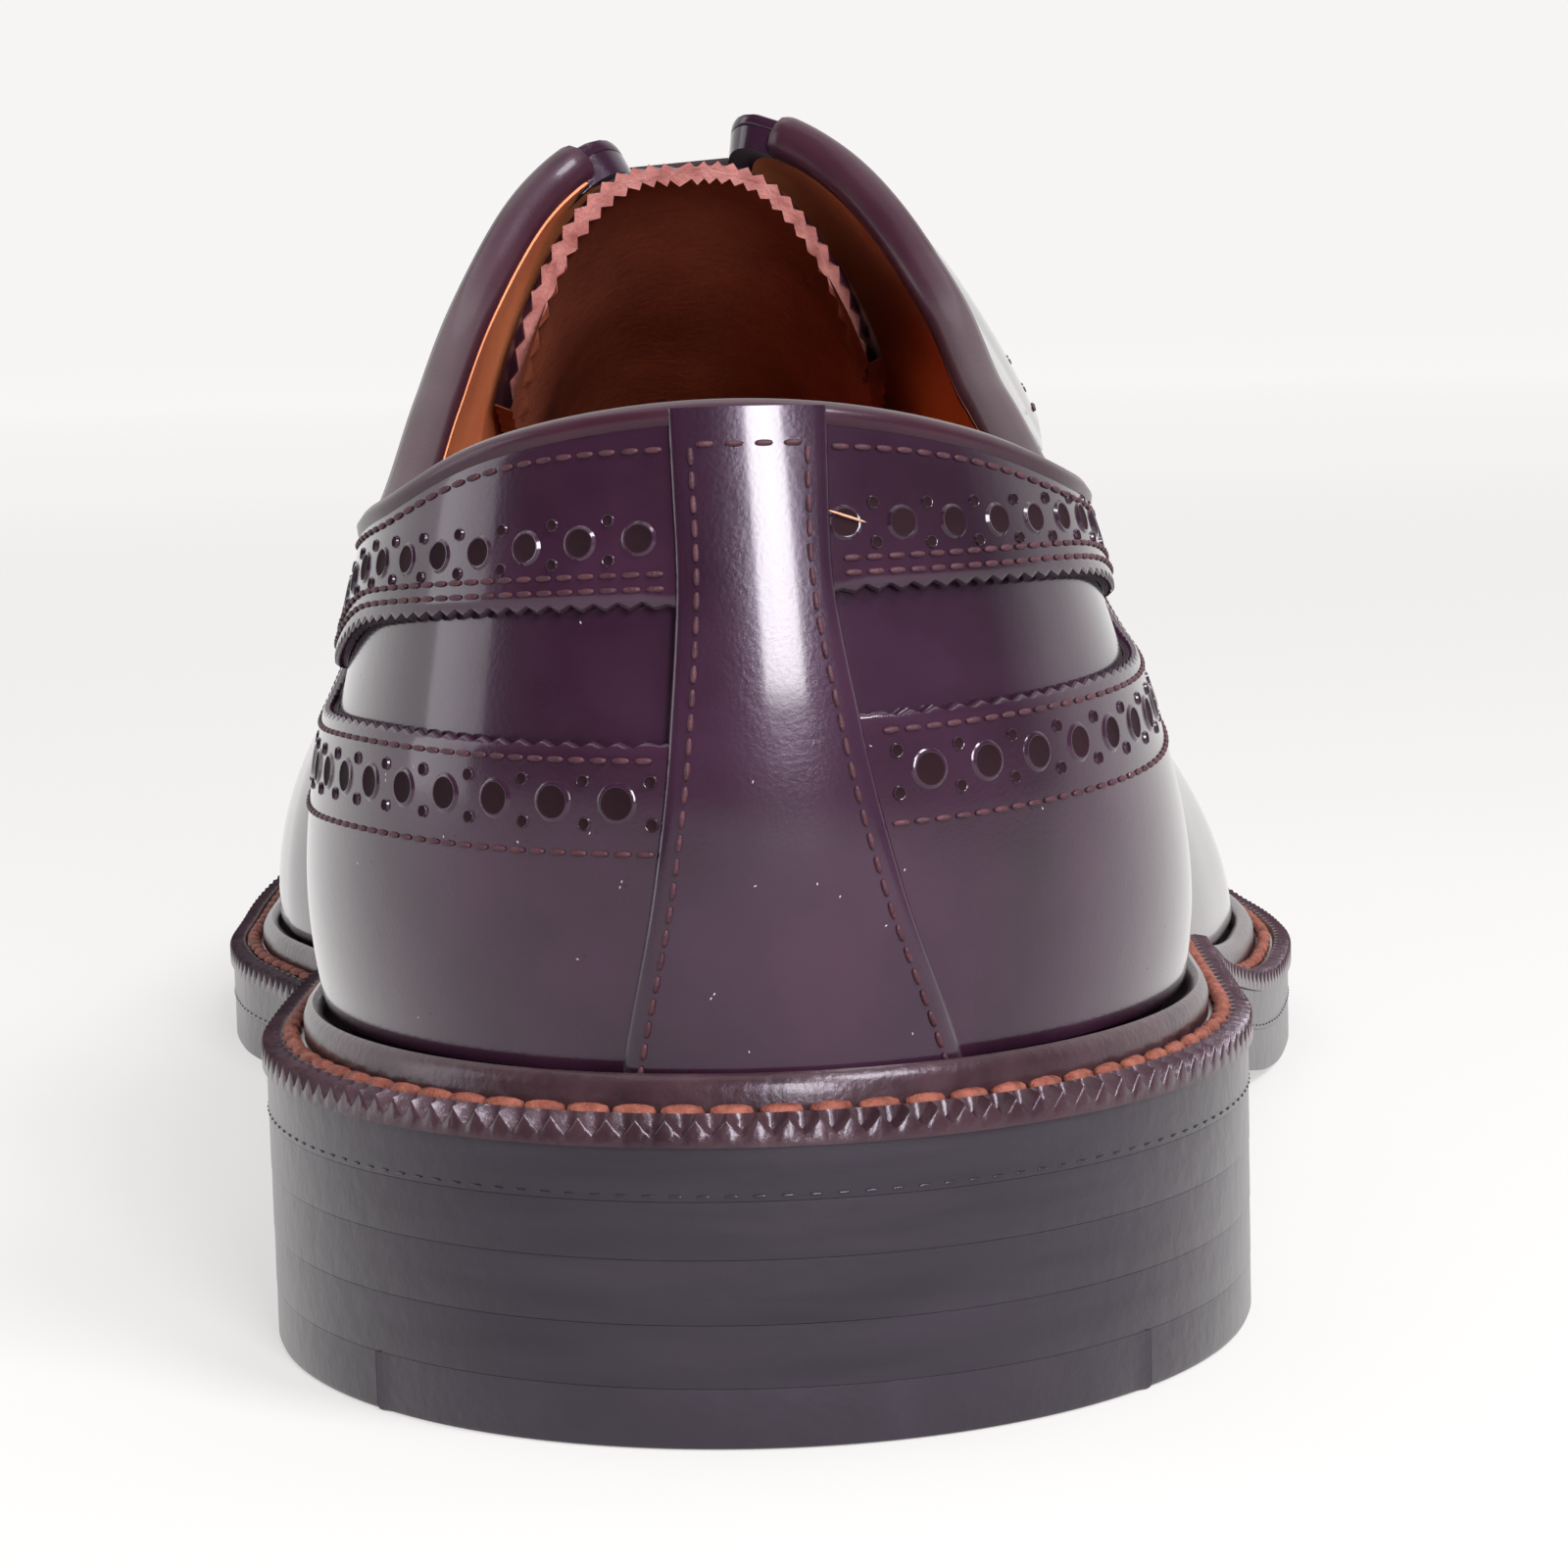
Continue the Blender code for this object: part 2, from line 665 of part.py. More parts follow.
def make_upper():
    """Upper: one hollow shell, open at the collar and throat and underneath."""
    outside = OVERLAY_THICKNESS + OVERLAY_GAP
    inside = outside + UPPER_WALL
    sides = ring(ring_places())
    outer = []
    inner = []
    for side, along in sides:
        here = rib(side, along)
        shares = wall_shares(side, along)
        outer.append([here.point(t, outside) for t in shares])
        inner.append([here.point(t, inside) for t in shares])
    closed = [along >= THROAT * OUTSOLE_LENGTH - MIN_STEP / 10 for side, along in sides]

    def open_between(i, j):
        return not (closed[i] and closed[j])

    shell("upper", outer, inner, True, leather("plum_leather", (0.13, 0.02, 0.035), 0.22),
          rim_top=open_between)


def strip_side(side, share, clearance):
    """Distance from the back where a rib's share meets the back strip's edge, or stands clear of it."""
    half = float(smooth(STRIP, "half_width", share)) * HEEL_WIDTH / 2 + clearance
    centre = float(smooth(STRIP, "centre", share)) * HEEL_WIDTH / 2
    tries = HEEL_ROUND * (1 - np.cos(np.linspace(0, 0.9, 46)))
    reach = np.array([side * rib(side, p).point(share)[0] for p in tries])
    return float(np.interp(half + centre * side, reach, tries))


def make_strip():
    """Back strip: narrow at the collar and flared at the welt, seated on the upper's wall."""
    shares = wall_shares(OUTER, 0.0)[1:]
    outer = []
    inner = []
    for step in np.linspace(-1, 1, STRIP_COLUMNS + 1):
        side = OUTER if step >= 0 else INNER
        outer_column = []
        inner_column = []
        for t in shares:
            turn = abs(step) * math.acos(1 - strip_side(side, t, 0.0) / HEEL_ROUND)
            here = rib(side, HEEL_ROUND * (1 - math.cos(turn)))
            outer_column.append(here.point(t, -STRIP_RISE))
            inner_column.append(here.point(t, OVERLAY_THICKNESS))
        outer.append(outer_column)
        inner.append(inner_column)
    shell("back_strip", outer, inner, False, leather("strip_leather", (0.15, 0.022, 0.04), 0.22))


def panel_grid(columns, first_row, last_row):
    """Grid of an overlay on the wall's own rows. A column is a side, a distance and a slide: slides
    of 0 and a half lie at the strip's edge and between it and the first free rib."""
    outer = []
    inner = []
    for side, along, slide in columns:
        outer_column = []
        inner_column = []
        for t in wall_shares(side, along)[first_row:last_row + 1]:
            place = along
            if slide < 1:
                start = strip_side(side, t, OVERLAY_GAP)
                place = start + (along - start) * slide
            here = rib(side, place)
            outer_column.append(here.point(t, 0.0))
            inner_column.append(here.point(t, OVERLAY_THICKNESS))
        outer.append(outer_column)
        inner.append(inner_column)
    return outer, inner


def first_free(first_row, last_row):
    """First rib that clears the back strip at every row of a panel."""
    shares = wall_shares(OUTER, 0.0)[first_row:last_row + 1]
    reach = max(strip_side(side, t, OVERLAY_GAP) for side in (OUTER, INNER) for t in shares)
    places = ring_places()
    return places[places > reach + MIN_STEP][0]


def make_wing():
    """Long wing: from the strip on one side, round the toe, to the strip on the other side."""
    first = first_free(WING_ROW, WING_ROW + WING_ROWS)
    free = [p for p in ring_places() if p >= first]
    columns = [(OUTER, first, 0.0), (OUTER, first, 0.5)]
    columns += [(OUTER, p, 1.0) for p in free]
    columns += [(INNER, p, 1.0) for p in free[-2::-1]]
    columns += [(INNER, first, 0.5), (INNER, first, 0.0)]
    outer, inner = panel_grid(columns, WING_ROW, WING_ROW + WING_ROWS)
    closed = [along >= WING_EDGE["station"][-1] * OUTSOLE_LENGTH for side, along, slide in columns]

    def open_between(i, j):
        return not (closed[i] and closed[j])

    shell("wing_cap", outer, inner, False, leather("wing_leather", (0.14, 0.02, 0.036), 0.2),
          rim_top=open_between)


def make_collar_panels():
    """Collar panels: one on each side of the strip, from the topline down to the rounded edge."""
    first = first_free(PANEL_ROW, PANEL_ROW + PANEL_ROWS)
    front = COLLAR_PANEL_FRONT * OUTSOLE_LENGTH
    free = [p for p in ring_places() if first <= p < front - MIN_STEP] + [front]
    for side, word in SIDE_NAMES.items():
        columns = [(side, first, 0.0), (side, first, 0.5)] + [(side, p, 1.0) for p in free]
        outer, inner = panel_grid(columns, PANEL_ROW, PANEL_ROW + PANEL_ROWS)
        shell(f"collar_panel_{word}", outer, inner, False,
              leather(f"collar_leather_{word}", (0.14, 0.02, 0.036), 0.2))


def make_facings():
    """Facings: the laced flap's overlay on each side, from its back edge down to the throat."""
    back = FACING_BACK * OUTSOLE_LENGTH
    front = FACING_FRONT * OUTSOLE_LENGTH
    free = [back] + [p for p in ring_places() if back + MIN_STEP < p < front - MIN_STEP] + [front]
    for side, word in SIDE_NAMES.items():
        outer, inner = panel_grid([(side, p, 1.0) for p in free], PANEL_ROW, PANEL_ROW + PANEL_ROWS)
        shell(f"facing_{word}", outer, inner, False,
              leather(f"facing_leather_{word}", (0.14, 0.02, 0.036), 0.2))


def make_tongue():
    """Tongue: a bent sheet under the facings, rooted under the vamp and reaching over the collar."""
    outside = OVERLAY_THICKNESS + OVERLAY_GAP + UPPER_WALL + TONGUE_GAP
    inside = outside + TONGUE_THICKNESS
    stations = np.concatenate([
        np.linspace(TONGUE_TOP, 0.36, 3),
        np.linspace(0.385, THROAT, 8),
        [TONGUE_ROOT],
    ])
    outer = []
    inner = []
    for station in stations:
        along = station * OUTSOLE_LENGTH
        fade = np.clip((THROAT - station) / (THROAT - FACING_TOP), 0, 1)
        column_out = []
        column_in = []
        for side in (INNER, OUTER):
            here = rib(side, along)
            edge = float(smooth(TONGUE_EDGE, SIDE_NAMES[side], station))
            shares = np.linspace(edge, 1, TONGUE_COLUMNS + 1)
            if side == OUTER:
                shares = shares[::-1]
            for t in shares:
                slack = 0.0
                if side == OUTER:
                    slack = TONGUE_SLACK * fade * ((1 - t) / (1 - edge)) ** 1.5
                column_out.append(here.point(t, outside + slack))
                column_in.append(here.point(t, inside + slack))
        outer.append(column_out)
        inner.append(column_in)
    shell("tongue", outer, inner, False, leather("tongue_leather", (0.2, 0.08, 0.06), 0.45))


def make_lace():
    """Lace: one straight bar over the facings for each pair of eyelets."""
    lift = LACE_THICKNESS / 2 + SEAT_GAP + 0.0001
    finish = leather("lace_cotton", (0.03, 0.015, 0.018), 0.7)
    stations = np.linspace(FIRST_EYELET, LAST_EYELET, EYELET_COUNT)
    for number, station in enumerate(stations):
        along = station * OUTSOLE_LENGTH
        halves = []
        for side in (OUTER, INNER):
            here = rib(side, along)
            edge = opening_share(side, along)
            reach = EYELET_INSET / (here.radius + here.high - here.low)
            halves.append([here.point(t, -lift) for t in np.linspace(edge - 1.6 * reach, edge, 4)])
        route = halves[0] + halves[1][::-1]
        curve = bpy.data.curves.new(f"lace_bar_{number + 1}", "CURVE")
        curve.dimensions = "3D"
        curve.bevel_depth = LACE_THICKNESS / 2
        curve.bevel_resolution = 2
        curve.use_fill_caps = True
        line = curve.splines.new("POLY")
        line.points.add(len(route) - 1)
        for k, point in enumerate(route):
            line.points[k].co = (*to_world(point), 1.0)
        made = bpy.data.objects.new(f"lace_bar_{number + 1}", curve)
        made.data.materials.append(finish)
        bpy.context.scene.collection.objects.link(made)


def main():
    for old in list(bpy.data.objects):
        bpy.data.objects.remove(old, do_unlink=True)
    make_heel()
    make_soles()
    make_welt()
    make_insole()
    make_upper()
    make_wing()
    make_collar_panels()
    make_facings()
    make_strip()
    make_tongue()
    make_lace()


main()
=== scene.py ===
import math
import bmesh
import bpy
import mathutils
import numpy as np
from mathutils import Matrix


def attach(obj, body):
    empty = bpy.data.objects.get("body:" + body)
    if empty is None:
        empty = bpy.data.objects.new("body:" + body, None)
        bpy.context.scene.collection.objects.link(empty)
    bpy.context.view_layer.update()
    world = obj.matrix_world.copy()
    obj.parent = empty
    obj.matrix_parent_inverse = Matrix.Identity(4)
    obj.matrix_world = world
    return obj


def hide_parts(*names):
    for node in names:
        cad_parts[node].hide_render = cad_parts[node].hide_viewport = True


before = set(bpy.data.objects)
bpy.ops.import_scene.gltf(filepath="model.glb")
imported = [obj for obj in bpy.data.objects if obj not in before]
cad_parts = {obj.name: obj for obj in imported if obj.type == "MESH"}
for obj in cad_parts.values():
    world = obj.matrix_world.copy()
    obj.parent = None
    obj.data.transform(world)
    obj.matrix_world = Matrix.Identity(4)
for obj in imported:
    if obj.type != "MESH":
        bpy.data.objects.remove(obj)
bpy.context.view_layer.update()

# The last: the same sizes and tables as the frame's own solids, in metres and shares
last = {
    "length": 0.318, "ball": 0.122, "heel": 0.083, "heelRound": 0.053, "toeRound": 0.073, "toeFullness": 2.5,
    "heelHeight": 0.0144, "toeSpring": 0.0115, "seat": 0.0085, "instep": 0.1024, "weltWidth": 0.0069,
    "leanPower": 1.6, "outerLift": 0.016, "xMiddle": -0.0016849,
}


# Table from rows: each column under its name
def makeTable(names, rows):
    return dict(zip(names, np.array(rows).T))


plan = makeTable(("station", "heel", "ball", "centre"), [
    (0.000, 1.00, 0.000, 0.000), (0.167, 1.00, 0.000, 0.000), (0.250, 0.97, 0.015, 0.005),
    (0.330, 0.72, 0.175, 0.035), (0.410, 0.42, 0.405, 0.070), (0.487, 0.18, 0.660, 0.074),
    (0.566, 0.04, 0.885, 0.038), (0.629, 0.00, 0.985, -0.004), (0.676, 0.00, 1.000, -0.030),
    (0.740, 0.00, 0.980, -0.055), (0.800, 0.00, 0.935, -0.082), (0.865, 0.00, 0.875, -0.098),
    (0.930, 0.00, 0.790, -0.110), (1.000, 0.00, 0.690, -0.118)])
profile = makeTable(("station", "heel", "spring"), [
    (0.000, 1.00, 0.00), (0.262, 1.00, 0.00), (0.310, 0.92, 0.00), (0.380, 0.64, 0.00),
    (0.450, 0.28, 0.00), (0.510, 0.05, 0.00), (0.550, 0.00, 0.00), (0.700, 0.00, 0.00),
    (0.780, 0.00, 0.12), (0.860, 0.00, 0.38), (0.930, 0.00, 0.69), (1.000, 0.00, 1.00)])
ribs = makeTable(("station", "belly", "bellyUp", "shoulder", "shoulderUp", "crown", "top", "lean", "spread"), [
    (0.000, 1.13, 0.29, 0.960, 0.67, 0.82, 1.000, 0.040, 0.000),
    (0.060, 1.18, 0.30, 0.910, 0.62, 0.76, 1.000, 0.050, 0.000),
    (0.167, 1.26, 0.32, 0.720, 0.53, 0.59, 1.010, 0.070, -0.090),
    (0.250, 1.26, 0.34, 0.705, 0.64, 0.45, 1.030, 0.115, -0.105),
    (0.308, 1.20, 0.35, 0.750, 0.82, 0.24, 1.025, 0.170, -0.025),
    (0.355, 1.15, 0.36, 0.720, 1.00, 0.00, 1.000, 0.215, 0.085),
    (0.410, 1.11, 0.38, 0.650, 1.00, 0.00, 0.908, 0.270, 0.030),
    (0.475, 1.08, 0.40, 0.600, 1.00, 0.00, 0.812, 0.300, 0.000),
    (0.540, 1.08, 0.41, 0.570, 1.00, 0.00, 0.722, 0.300, 0.000),
    (0.600, 1.09, 0.42, 0.560, 1.00, 0.00, 0.645, 0.270, 0.000),
    (0.660, 1.09, 0.45, 0.570, 1.00, 0.00, 0.577, 0.220, 0.000),
    (0.720, 1.08, 0.50, 0.590, 1.00, 0.00, 0.526, 0.160, 0.000),
    (0.770, 1.06, 0.55, 0.620, 1.00, 0.00, 0.492, 0.110, 0.000),
    (1.000, 1.03, 0.60, 0.680, 1.00, 0.00, 0.492, 0.060, 0.000)])
edgeNames = ("station", "outer", "inner")
collarEdge = makeTable(edgeNames, [
    (0.000, 0.689, 0.689), (0.030, 0.666, 0.666), (0.080, 0.632, 0.624), (0.150, 0.618, 0.612),
    (0.200, 0.632, 0.634), (0.250, 0.655, 0.665), (0.300, 0.680, 0.690), (0.318, 0.710, 0.714),
    (0.333, 0.755, 0.755), (0.345, 0.805, 0.800), (0.352, 0.860, 0.850)])
wingEdge = makeTable(edgeNames, [
    (0.000, 0.410, 0.391), (0.090, 0.445, 0.412), (0.150, 0.474, 0.420), (0.190, 0.495, 0.438),
    (0.260, 0.475, 0.430), (0.355, 0.410, 0.395), (0.450, 0.370, 0.370), (0.520, 0.390, 0.390),
    (0.570, 0.450, 0.450), (0.620, 0.580, 0.580), (0.655, 0.740, 0.740), (0.680, 0.860, 0.860),
    (0.700, 1.000, 1.000)])
panelEdge = makeTable(edgeNames, [
    (0.000, 0.520, 0.511), (0.080, 0.535, 0.507), (0.135, 0.520, 0.470), (0.165, 0.512, 0.455),
    (0.178, 0.522, 0.475), (0.188, 0.560, 0.535), (0.195, 0.600, 0.605), (0.230, 0.610, 0.610),
    (0.272, 0.600, 0.600), (0.285, 0.560, 0.540), (0.310, 0.510, 0.470), (0.355, 0.490, 0.440),
    (0.450, 0.480, 0.470), (0.520, 0.510, 0.510), (0.575, 0.590, 0.590), (0.600, 0.680, 0.680),
    (0.640, 0.820, 0.820), (0.700, 1.000, 1.000)])
tongueEdge = makeTable(edgeNames, [
    (0.335, 0.640, 0.600), (0.345, 0.610, 0.555), (0.380, 0.600, 0.540), (0.500, 0.620, 0.590),
    (0.600, 0.680, 0.680), (0.640, 0.740, 0.740)])
strip = makeTable(("station", "half", "centre"), [
    (0.000, 0.340, 0.075), (0.100, 0.300, 0.067), (0.250, 0.228, 0.052), (0.400, 0.175, 0.038),
    (0.560, 0.142, 0.024), (0.695, 0.146, 0.020)])
strip["thick"] = 0.0006  # over the panels' faces
throat = {"top": 0.355, "collarFront": 0.352, "end": 0.598, "gapTop": 0.0112, "gapLow": 0.0060,
          "cornerOuter": 0.0045, "cornerInner": 0.0065}


# Monotone cubic through a column of a table, at an array of stations
def read(table, column, where):
    knots, values = table["station"], table[column]
    where = np.clip(where, knots[0], knots[-1])
    steps = np.diff(knots)
    rises = np.diff(values) / steps
    slopes = np.zeros_like(values)
    a, b = rises[:-1], rises[1:]
    safe = np.where(a * b > 0, a + b, 1)
    slopes[1:-1] = np.where(a * b > 0, 2 * a * b / safe, 0)
    slopes[0], slopes[-1] = rises[0], rises[-1]
    k = np.clip(np.searchsorted(knots, where, side="right") - 1, 0, len(steps) - 1)
    u = (where - knots[k]) / steps[k]
    w = steps[k]
    return ((1 + 2 * u) * (1 - u) ** 2 * values[k] + u * (1 - u) ** 2 * w * slopes[k]
            + u ** 2 * (3 - 2 * u) * values[k + 1] + u ** 2 * (u - 1) * w * slopes[k + 1])


heelTurn = last["heelRound"] * math.pi / 2
straightEnd = heelTurn + last["length"] - last["toeRound"] - last["heelRound"]
halfRing = straightEnd + 2 * last["toeRound"]  # ring place of the toe's tip; 0 is the heel's back


# Ring place to side and distance from the heel's back: a cosine round the heel, a square at the toe
def sideAndAlong(q):
    q = (np.asarray(q, float) + halfRing) % (2 * halfRing) - halfRing
    side = np.where(q >= 0, 1.0, -1.0)
    p = np.abs(q)
    heel = last["heelRound"] * (1 - np.cos(np.minimum(p, heelTurn) / last["heelRound"]))
    v = np.clip((halfRing - p) / (2 * last["toeRound"]), 0, 1)
    toe = last["length"] - last["toeRound"] * v ** 2
    along = np.where(p < heelTurn, heel, np.where(p < straightEnd, last["heelRound"] + p - heelTurn, toe))
    return side, along


# Distance from the heel's back to ring place, the other way round
def ringPlace(side, along):
    tries = np.linspace(0, halfRing, 6000)
    return side * np.interp(along, sideAndAlong(tries)[1], tries)


# Ring place at a share of the outsole's length
def placeAt(side, share):
    return float(ringPlace(side, share * last["length"]))


# Arrows brought to a length of one
def unit(arrows):
    return arrows / np.linalg.norm(arrows, axis=-1, keepdims=True)


# Point in the frame's own coordinates, from sideways place, distance from the heel's back and height
def toFrame(x, along, up):
    return np.stack([x - last["xMiddle"], along - last["length"] / 2, up], -1)


# Length run along a row of points, from 0
def runAlong(points):
    return np.concatenate([[0], np.cumsum(np.linalg.norm(np.diff(points, axis=0), axis=1))])


# Outsole's plan: half widths and centre line from the table, rounded at heel and toe
def outline(q):
    side, along = sideAndAlong(q)
    share = along / last["length"]
    half = (last["heel"] * read(plan, "heel", share) + last["ball"] * read(plan, "ball", share)) / 2
    centre = read(plan, "centre", share) * last["ball"] / 2
    back = np.clip(1 - along / last["heelRound"], 0, 1)
    front = np.clip((along - last["length"] + last["toeRound"]) / last["toeRound"], 0, 1)
    half = half * np.sqrt(1 - back ** 2) * np.sqrt(1 - front ** last["toeFullness"])
    return np.stack([centre + side * half, along], -1)


# Outline moved inwards along its own normal in plan
def rim(q, inset):
    step = 0.0004
    tangent = unit(outline(q + step) - outline(q - step))
    outward = np.stack([tangent[..., 1], -tangent[..., 0]], -1)
    return outline(q) - np.asarray(inset)[..., None] * outward


# Height of the outsole's underside
def soleHeight(along):
    share = along / last["length"]
    return (last["heelHeight"] * read(profile, "heel", share)
            + last["toeSpring"] * read(profile, "spring", share))


creases = (  # station, share, depth, half width along, half width in share, slant
    (0.615, 0.74, 0.0011, 0.0040, 0.20, 0.05), (0.645, 0.80, 0.0009, 0.0035, 0.18, 0.03),
    (0.590, 0.62, 0.0008, 0.0038, 0.16, 0.04))


# Point of the leather at ring place q, share t of the rib's cubic curve, moved in by inset
def leatherPoint(q, t, inset=0.0):
    q, t, inset = np.broadcast_arrays(np.asarray(q, float), np.asarray(t, float), np.asarray(inset, float))
    side, along = sideAndAlong(q)
    share = along / last["length"]
    foot = rim(q, np.full(q.shape, last["weltWidth"]))
    held = np.clip(along, last["heelRound"], last["length"] - last["toeRound"])
    spine = np.stack([read(plan, "centre", held / last["length"]) * last["ball"] / 2, held], -1)
    reach = foot - spine
    radius = np.linalg.norm(reach, axis=-1)
    outward = reach / radius[..., None]
    spread = np.where(side > 0, read(ribs, "spread", share), 0)
    low = soleHeight(foot[..., 1]) + last["seat"]
    high = read(ribs, "top", share) * last["instep"] + last["outerLift"] * np.maximum(spread, 0)
    tall = high - low
    outs = [radius, radius * read(ribs, "belly", share), radius * (read(ribs, "shoulder", share) + spread),
            radius * read(ribs, "crown", share)]
    ups = [low, low + tall * read(ribs, "bellyUp", share), low + tall * read(ribs, "shoulderUp", share), high]
    weights = [(1 - t) ** 3, 3 * t * (1 - t) ** 2, 3 * t ** 2 * (1 - t), t ** 3]
    out = sum(w * o for w, o in zip(weights, outs))
    up = sum(w * o for w, o in zip(weights, ups))
    bends = [(1 - t) ** 2, 2 * t * (1 - t), t ** 2]
    slopeOut = sum(w * (b - a) for w, a, b in zip(bends, outs, outs[1:]))
    slopeUp = sum(w * (b - a) for w, a, b in zip(bends, ups, ups[1:]))
    size = np.hypot(slopeOut, slopeUp)
    push = inset
    for station, level, depth, wide, tallness, slant in creases:
        far = (along - (station + slant * (level - t)) * last["length"]) / wide
        push = push + depth * np.exp(-far ** 2) * np.exp(-((t - level) / tallness) ** 2)
        push = push - 0.5 * depth * np.exp(-(np.abs(far) - 1.7) ** 2) * np.exp(-((t - level) / tallness) ** 2)
    out = out - push * slopeUp / size
    up = np.maximum(up + push * slopeOut / size, low)
    rise = np.clip((up - low) / tall, 0, 1)
    lean = read(ribs, "lean", share) * last["heel"] / 2 * rise ** last["leanPower"]
    plane = spine + outward * out[..., None]
    return toFrame(plane[..., 0] - lean, plane[..., 1], up)


# Length over the surface of one whole share, near a share
def perShareAt(q, t, step=0.005):
    return np.maximum(np.linalg.norm(leatherPoint(q, t + step) - leatherPoint(q, t), axis=-1) / abs(step), 0.02)


# Height of the rib's share over the welt, found on a fine row of shares
def shareAtHeight(q, over):
    t = np.linspace(0, 0.5, 61)
    heights = leatherPoint(q[:, None], t[None, :])[..., 2]
    return np.array([np.interp(h[0] + over, h, t) for h in heights])


# Share of an edge table at ring places: the outer column on the positive side, else the inner
def edgeShare(table, q):
    side, along = sideAndAlong(q)
    share = along / last["length"]
    return np.where(side > 0, read(table, "outer", share), read(table, "inner", share))


# Share of the upper's top edge: topline, then the facing's edge by halving, then the closed ridge
def topShare(q):
    side, along = sideAndAlong(q)
    share = along / last["length"]
    u = np.clip((share - throat["top"]) / (throat["end"] - throat["top"]), 0, 1)
    gap = (throat["gapTop"] * (1 - u) + throat["gapLow"] * u) / 2
    radius = np.where(side > 0, throat["cornerOuter"], throat["cornerInner"])
    short = np.clip(radius - (share - throat["top"]) * last["length"], 0, radius)
    gap = gap + radius - np.sqrt(radius ** 2 - short ** 2)
    lower, upper = np.full(q.shape, 0.5), np.ones(q.shape)
    spineX = read(plan, "centre", np.clip(share, 0.17, 0.77)) * last["ball"] / 2 - last["xMiddle"]
    lean = read(ribs, "lean", share) * last["heel"] / 2
    for turn in range(18):
        middle = (lower + upper) / 2
        x = leatherPoint(q, middle)[..., 0]
        outside = side * (x - spineX + lean * 0.97) > gap
        lower, upper = np.where(outside, middle, lower), np.where(outside, upper, middle)
    facing = (lower + upper) / 2
    collar = edgeShare(collarEdge, q)
    blend = np.clip((share - throat["collarFront"]) / (throat["top"] - throat["collarFront"]), 0, 1)
    top = collar * (1 - blend) + facing * blend
    return np.where(share >= throat["end"], 1.0, top)


# Ring place where a share of the heel's ribs has a given x
def stripPlace(x, t):
    tries = np.linspace(-0.034, 0.034, 240)
    places = []
    for wanted, share in zip(np.atleast_1d(x), np.atleast_1d(t)):
        places.append(np.interp(wanted, leatherPoint(tries, share)[:, 0], tries))
    return np.array(places)


# Sideways place of the back strip's edge: its centre plus or minus its half width, and a clearance
def stripX(t, side, clear=0.0):
    half = read(strip, "half", t) * last["heel"] / 2 + clear
    return read(strip, "centre", t) * last["heel"] / 2 + side * half - last["xMiddle"]


# Mesh cleaned: points closer than a distance become one, and faces are turned outwards where asked
def mergeClose(mesh, distance, turn=True):
    work = bmesh.new()
    work.from_mesh(mesh)
    bmesh.ops.remove_doubles(work, verts=work.verts, dist=distance)
    if turn:
        bmesh.ops.recalc_face_normals(work, faces=work.faces)
    work.normal_update()
    work.to_mesh(mesh)
    work.free()


# Ring place of the strip's edge at a share of the ribs
def besideStrip(side, share):
    return float(stripPlace(stripX(share, side), share)[0])


# Closed loops of points carried along a path: columns of loops, joined, and capped at both ends unless it closes
def sweep(name, loops, material, closed=False, tag=None, merge=0.00001, sharp=50):
    columns, ring = loops.shape[:2]
    index = np.arange(columns * ring).reshape(columns, ring)
    near, far = (index, np.roll(index, -1, 0)) if closed else (index[:-1], index[1:])
    quads = np.stack([near, far, np.roll(far, -1, 1), np.roll(near, -1, 1)], -1).reshape(-1, 4)
    faces = quads.tolist()
    if not closed:
        faces += [index[0].tolist(), index[-1][::-1].tolist()]
    mesh = bpy.data.meshes.new(name)
    mesh.from_pydata(loops.reshape(-1, 3).tolist(), [], faces)
    if tag is not None:
        mesh.attributes.new("across", "FLOAT", "POINT").data.foreach_set("value", tag.reshape(-1))
    mergeClose(mesh, merge)
    return finishPiece(name, mesh, material, sharp)


# Oval loops round a line: half sizes along two arrows across it, sunk against the second
def ovalLoops(line, across, upward, wide, tall, sunk=0.0):
    turn = np.linspace(0, 2 * math.pi, 13)[:-1]
    return (line[:, None] + across[:, None] * (wide * np.cos(turn))[None, :, None]
            + upward[:, None] * (tall * np.sin(turn) - sunk)[None, :, None])


# Object for a mesh, light or camera, linked to the scene
def addObject(name, data):
    made = bpy.data.objects.new(name, data)
    bpy.context.scene.collection.objects.link(made)
    return made


# Piece from a mesh: smooth faces with edges sharp over an angle, its materials, riding on the one body
def finishPiece(name, mesh, material, sharp=50):
    mesh.shade_smooth()
    mesh.set_sharp_from_angle(angle=math.radians(sharp))
    for one in material if isinstance(material, list) else [material]:
        mesh.materials.append(one)
    made = addObject(name, mesh)
    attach(made, "root")
    return made


# Faces whose points carry a high "across" value take the second material, end caps the third
def paintInside(made):
    across = np.zeros(len(made.data.vertices))
    made.data.attributes["across"].data.foreach_get("value", across)
    slots = [2 if len(p.vertices) > 4 else int(across[list(p.vertices)].mean() > 0.3) for p in made.data.polygons]
    made.data.polygons.foreach_set("material_index", slots)


# Material with constant values on the shader's own sockets
def makeMaterial(name, colour, rough, coat=0.0, coatRough=0.1):
    made = bpy.data.materials.new(name)
    made.use_nodes = True
    shader = made.node_tree.nodes["Principled BSDF"]
    shader.inputs["Base Color"].default_value = (*colour, 1)
    shader.inputs["Roughness"].default_value = rough
    shader.inputs["Coat Weight"].default_value = coat
    shader.inputs["Coat Roughness"].default_value = coatRough
    shader.inputs["Coat IOR"].default_value = 1.34
    shader.inputs["Specular Tint"].default_value = (0.90, 0.80, 1.0, 1)
    return made, made.node_tree.nodes, made.node_tree.links, shader


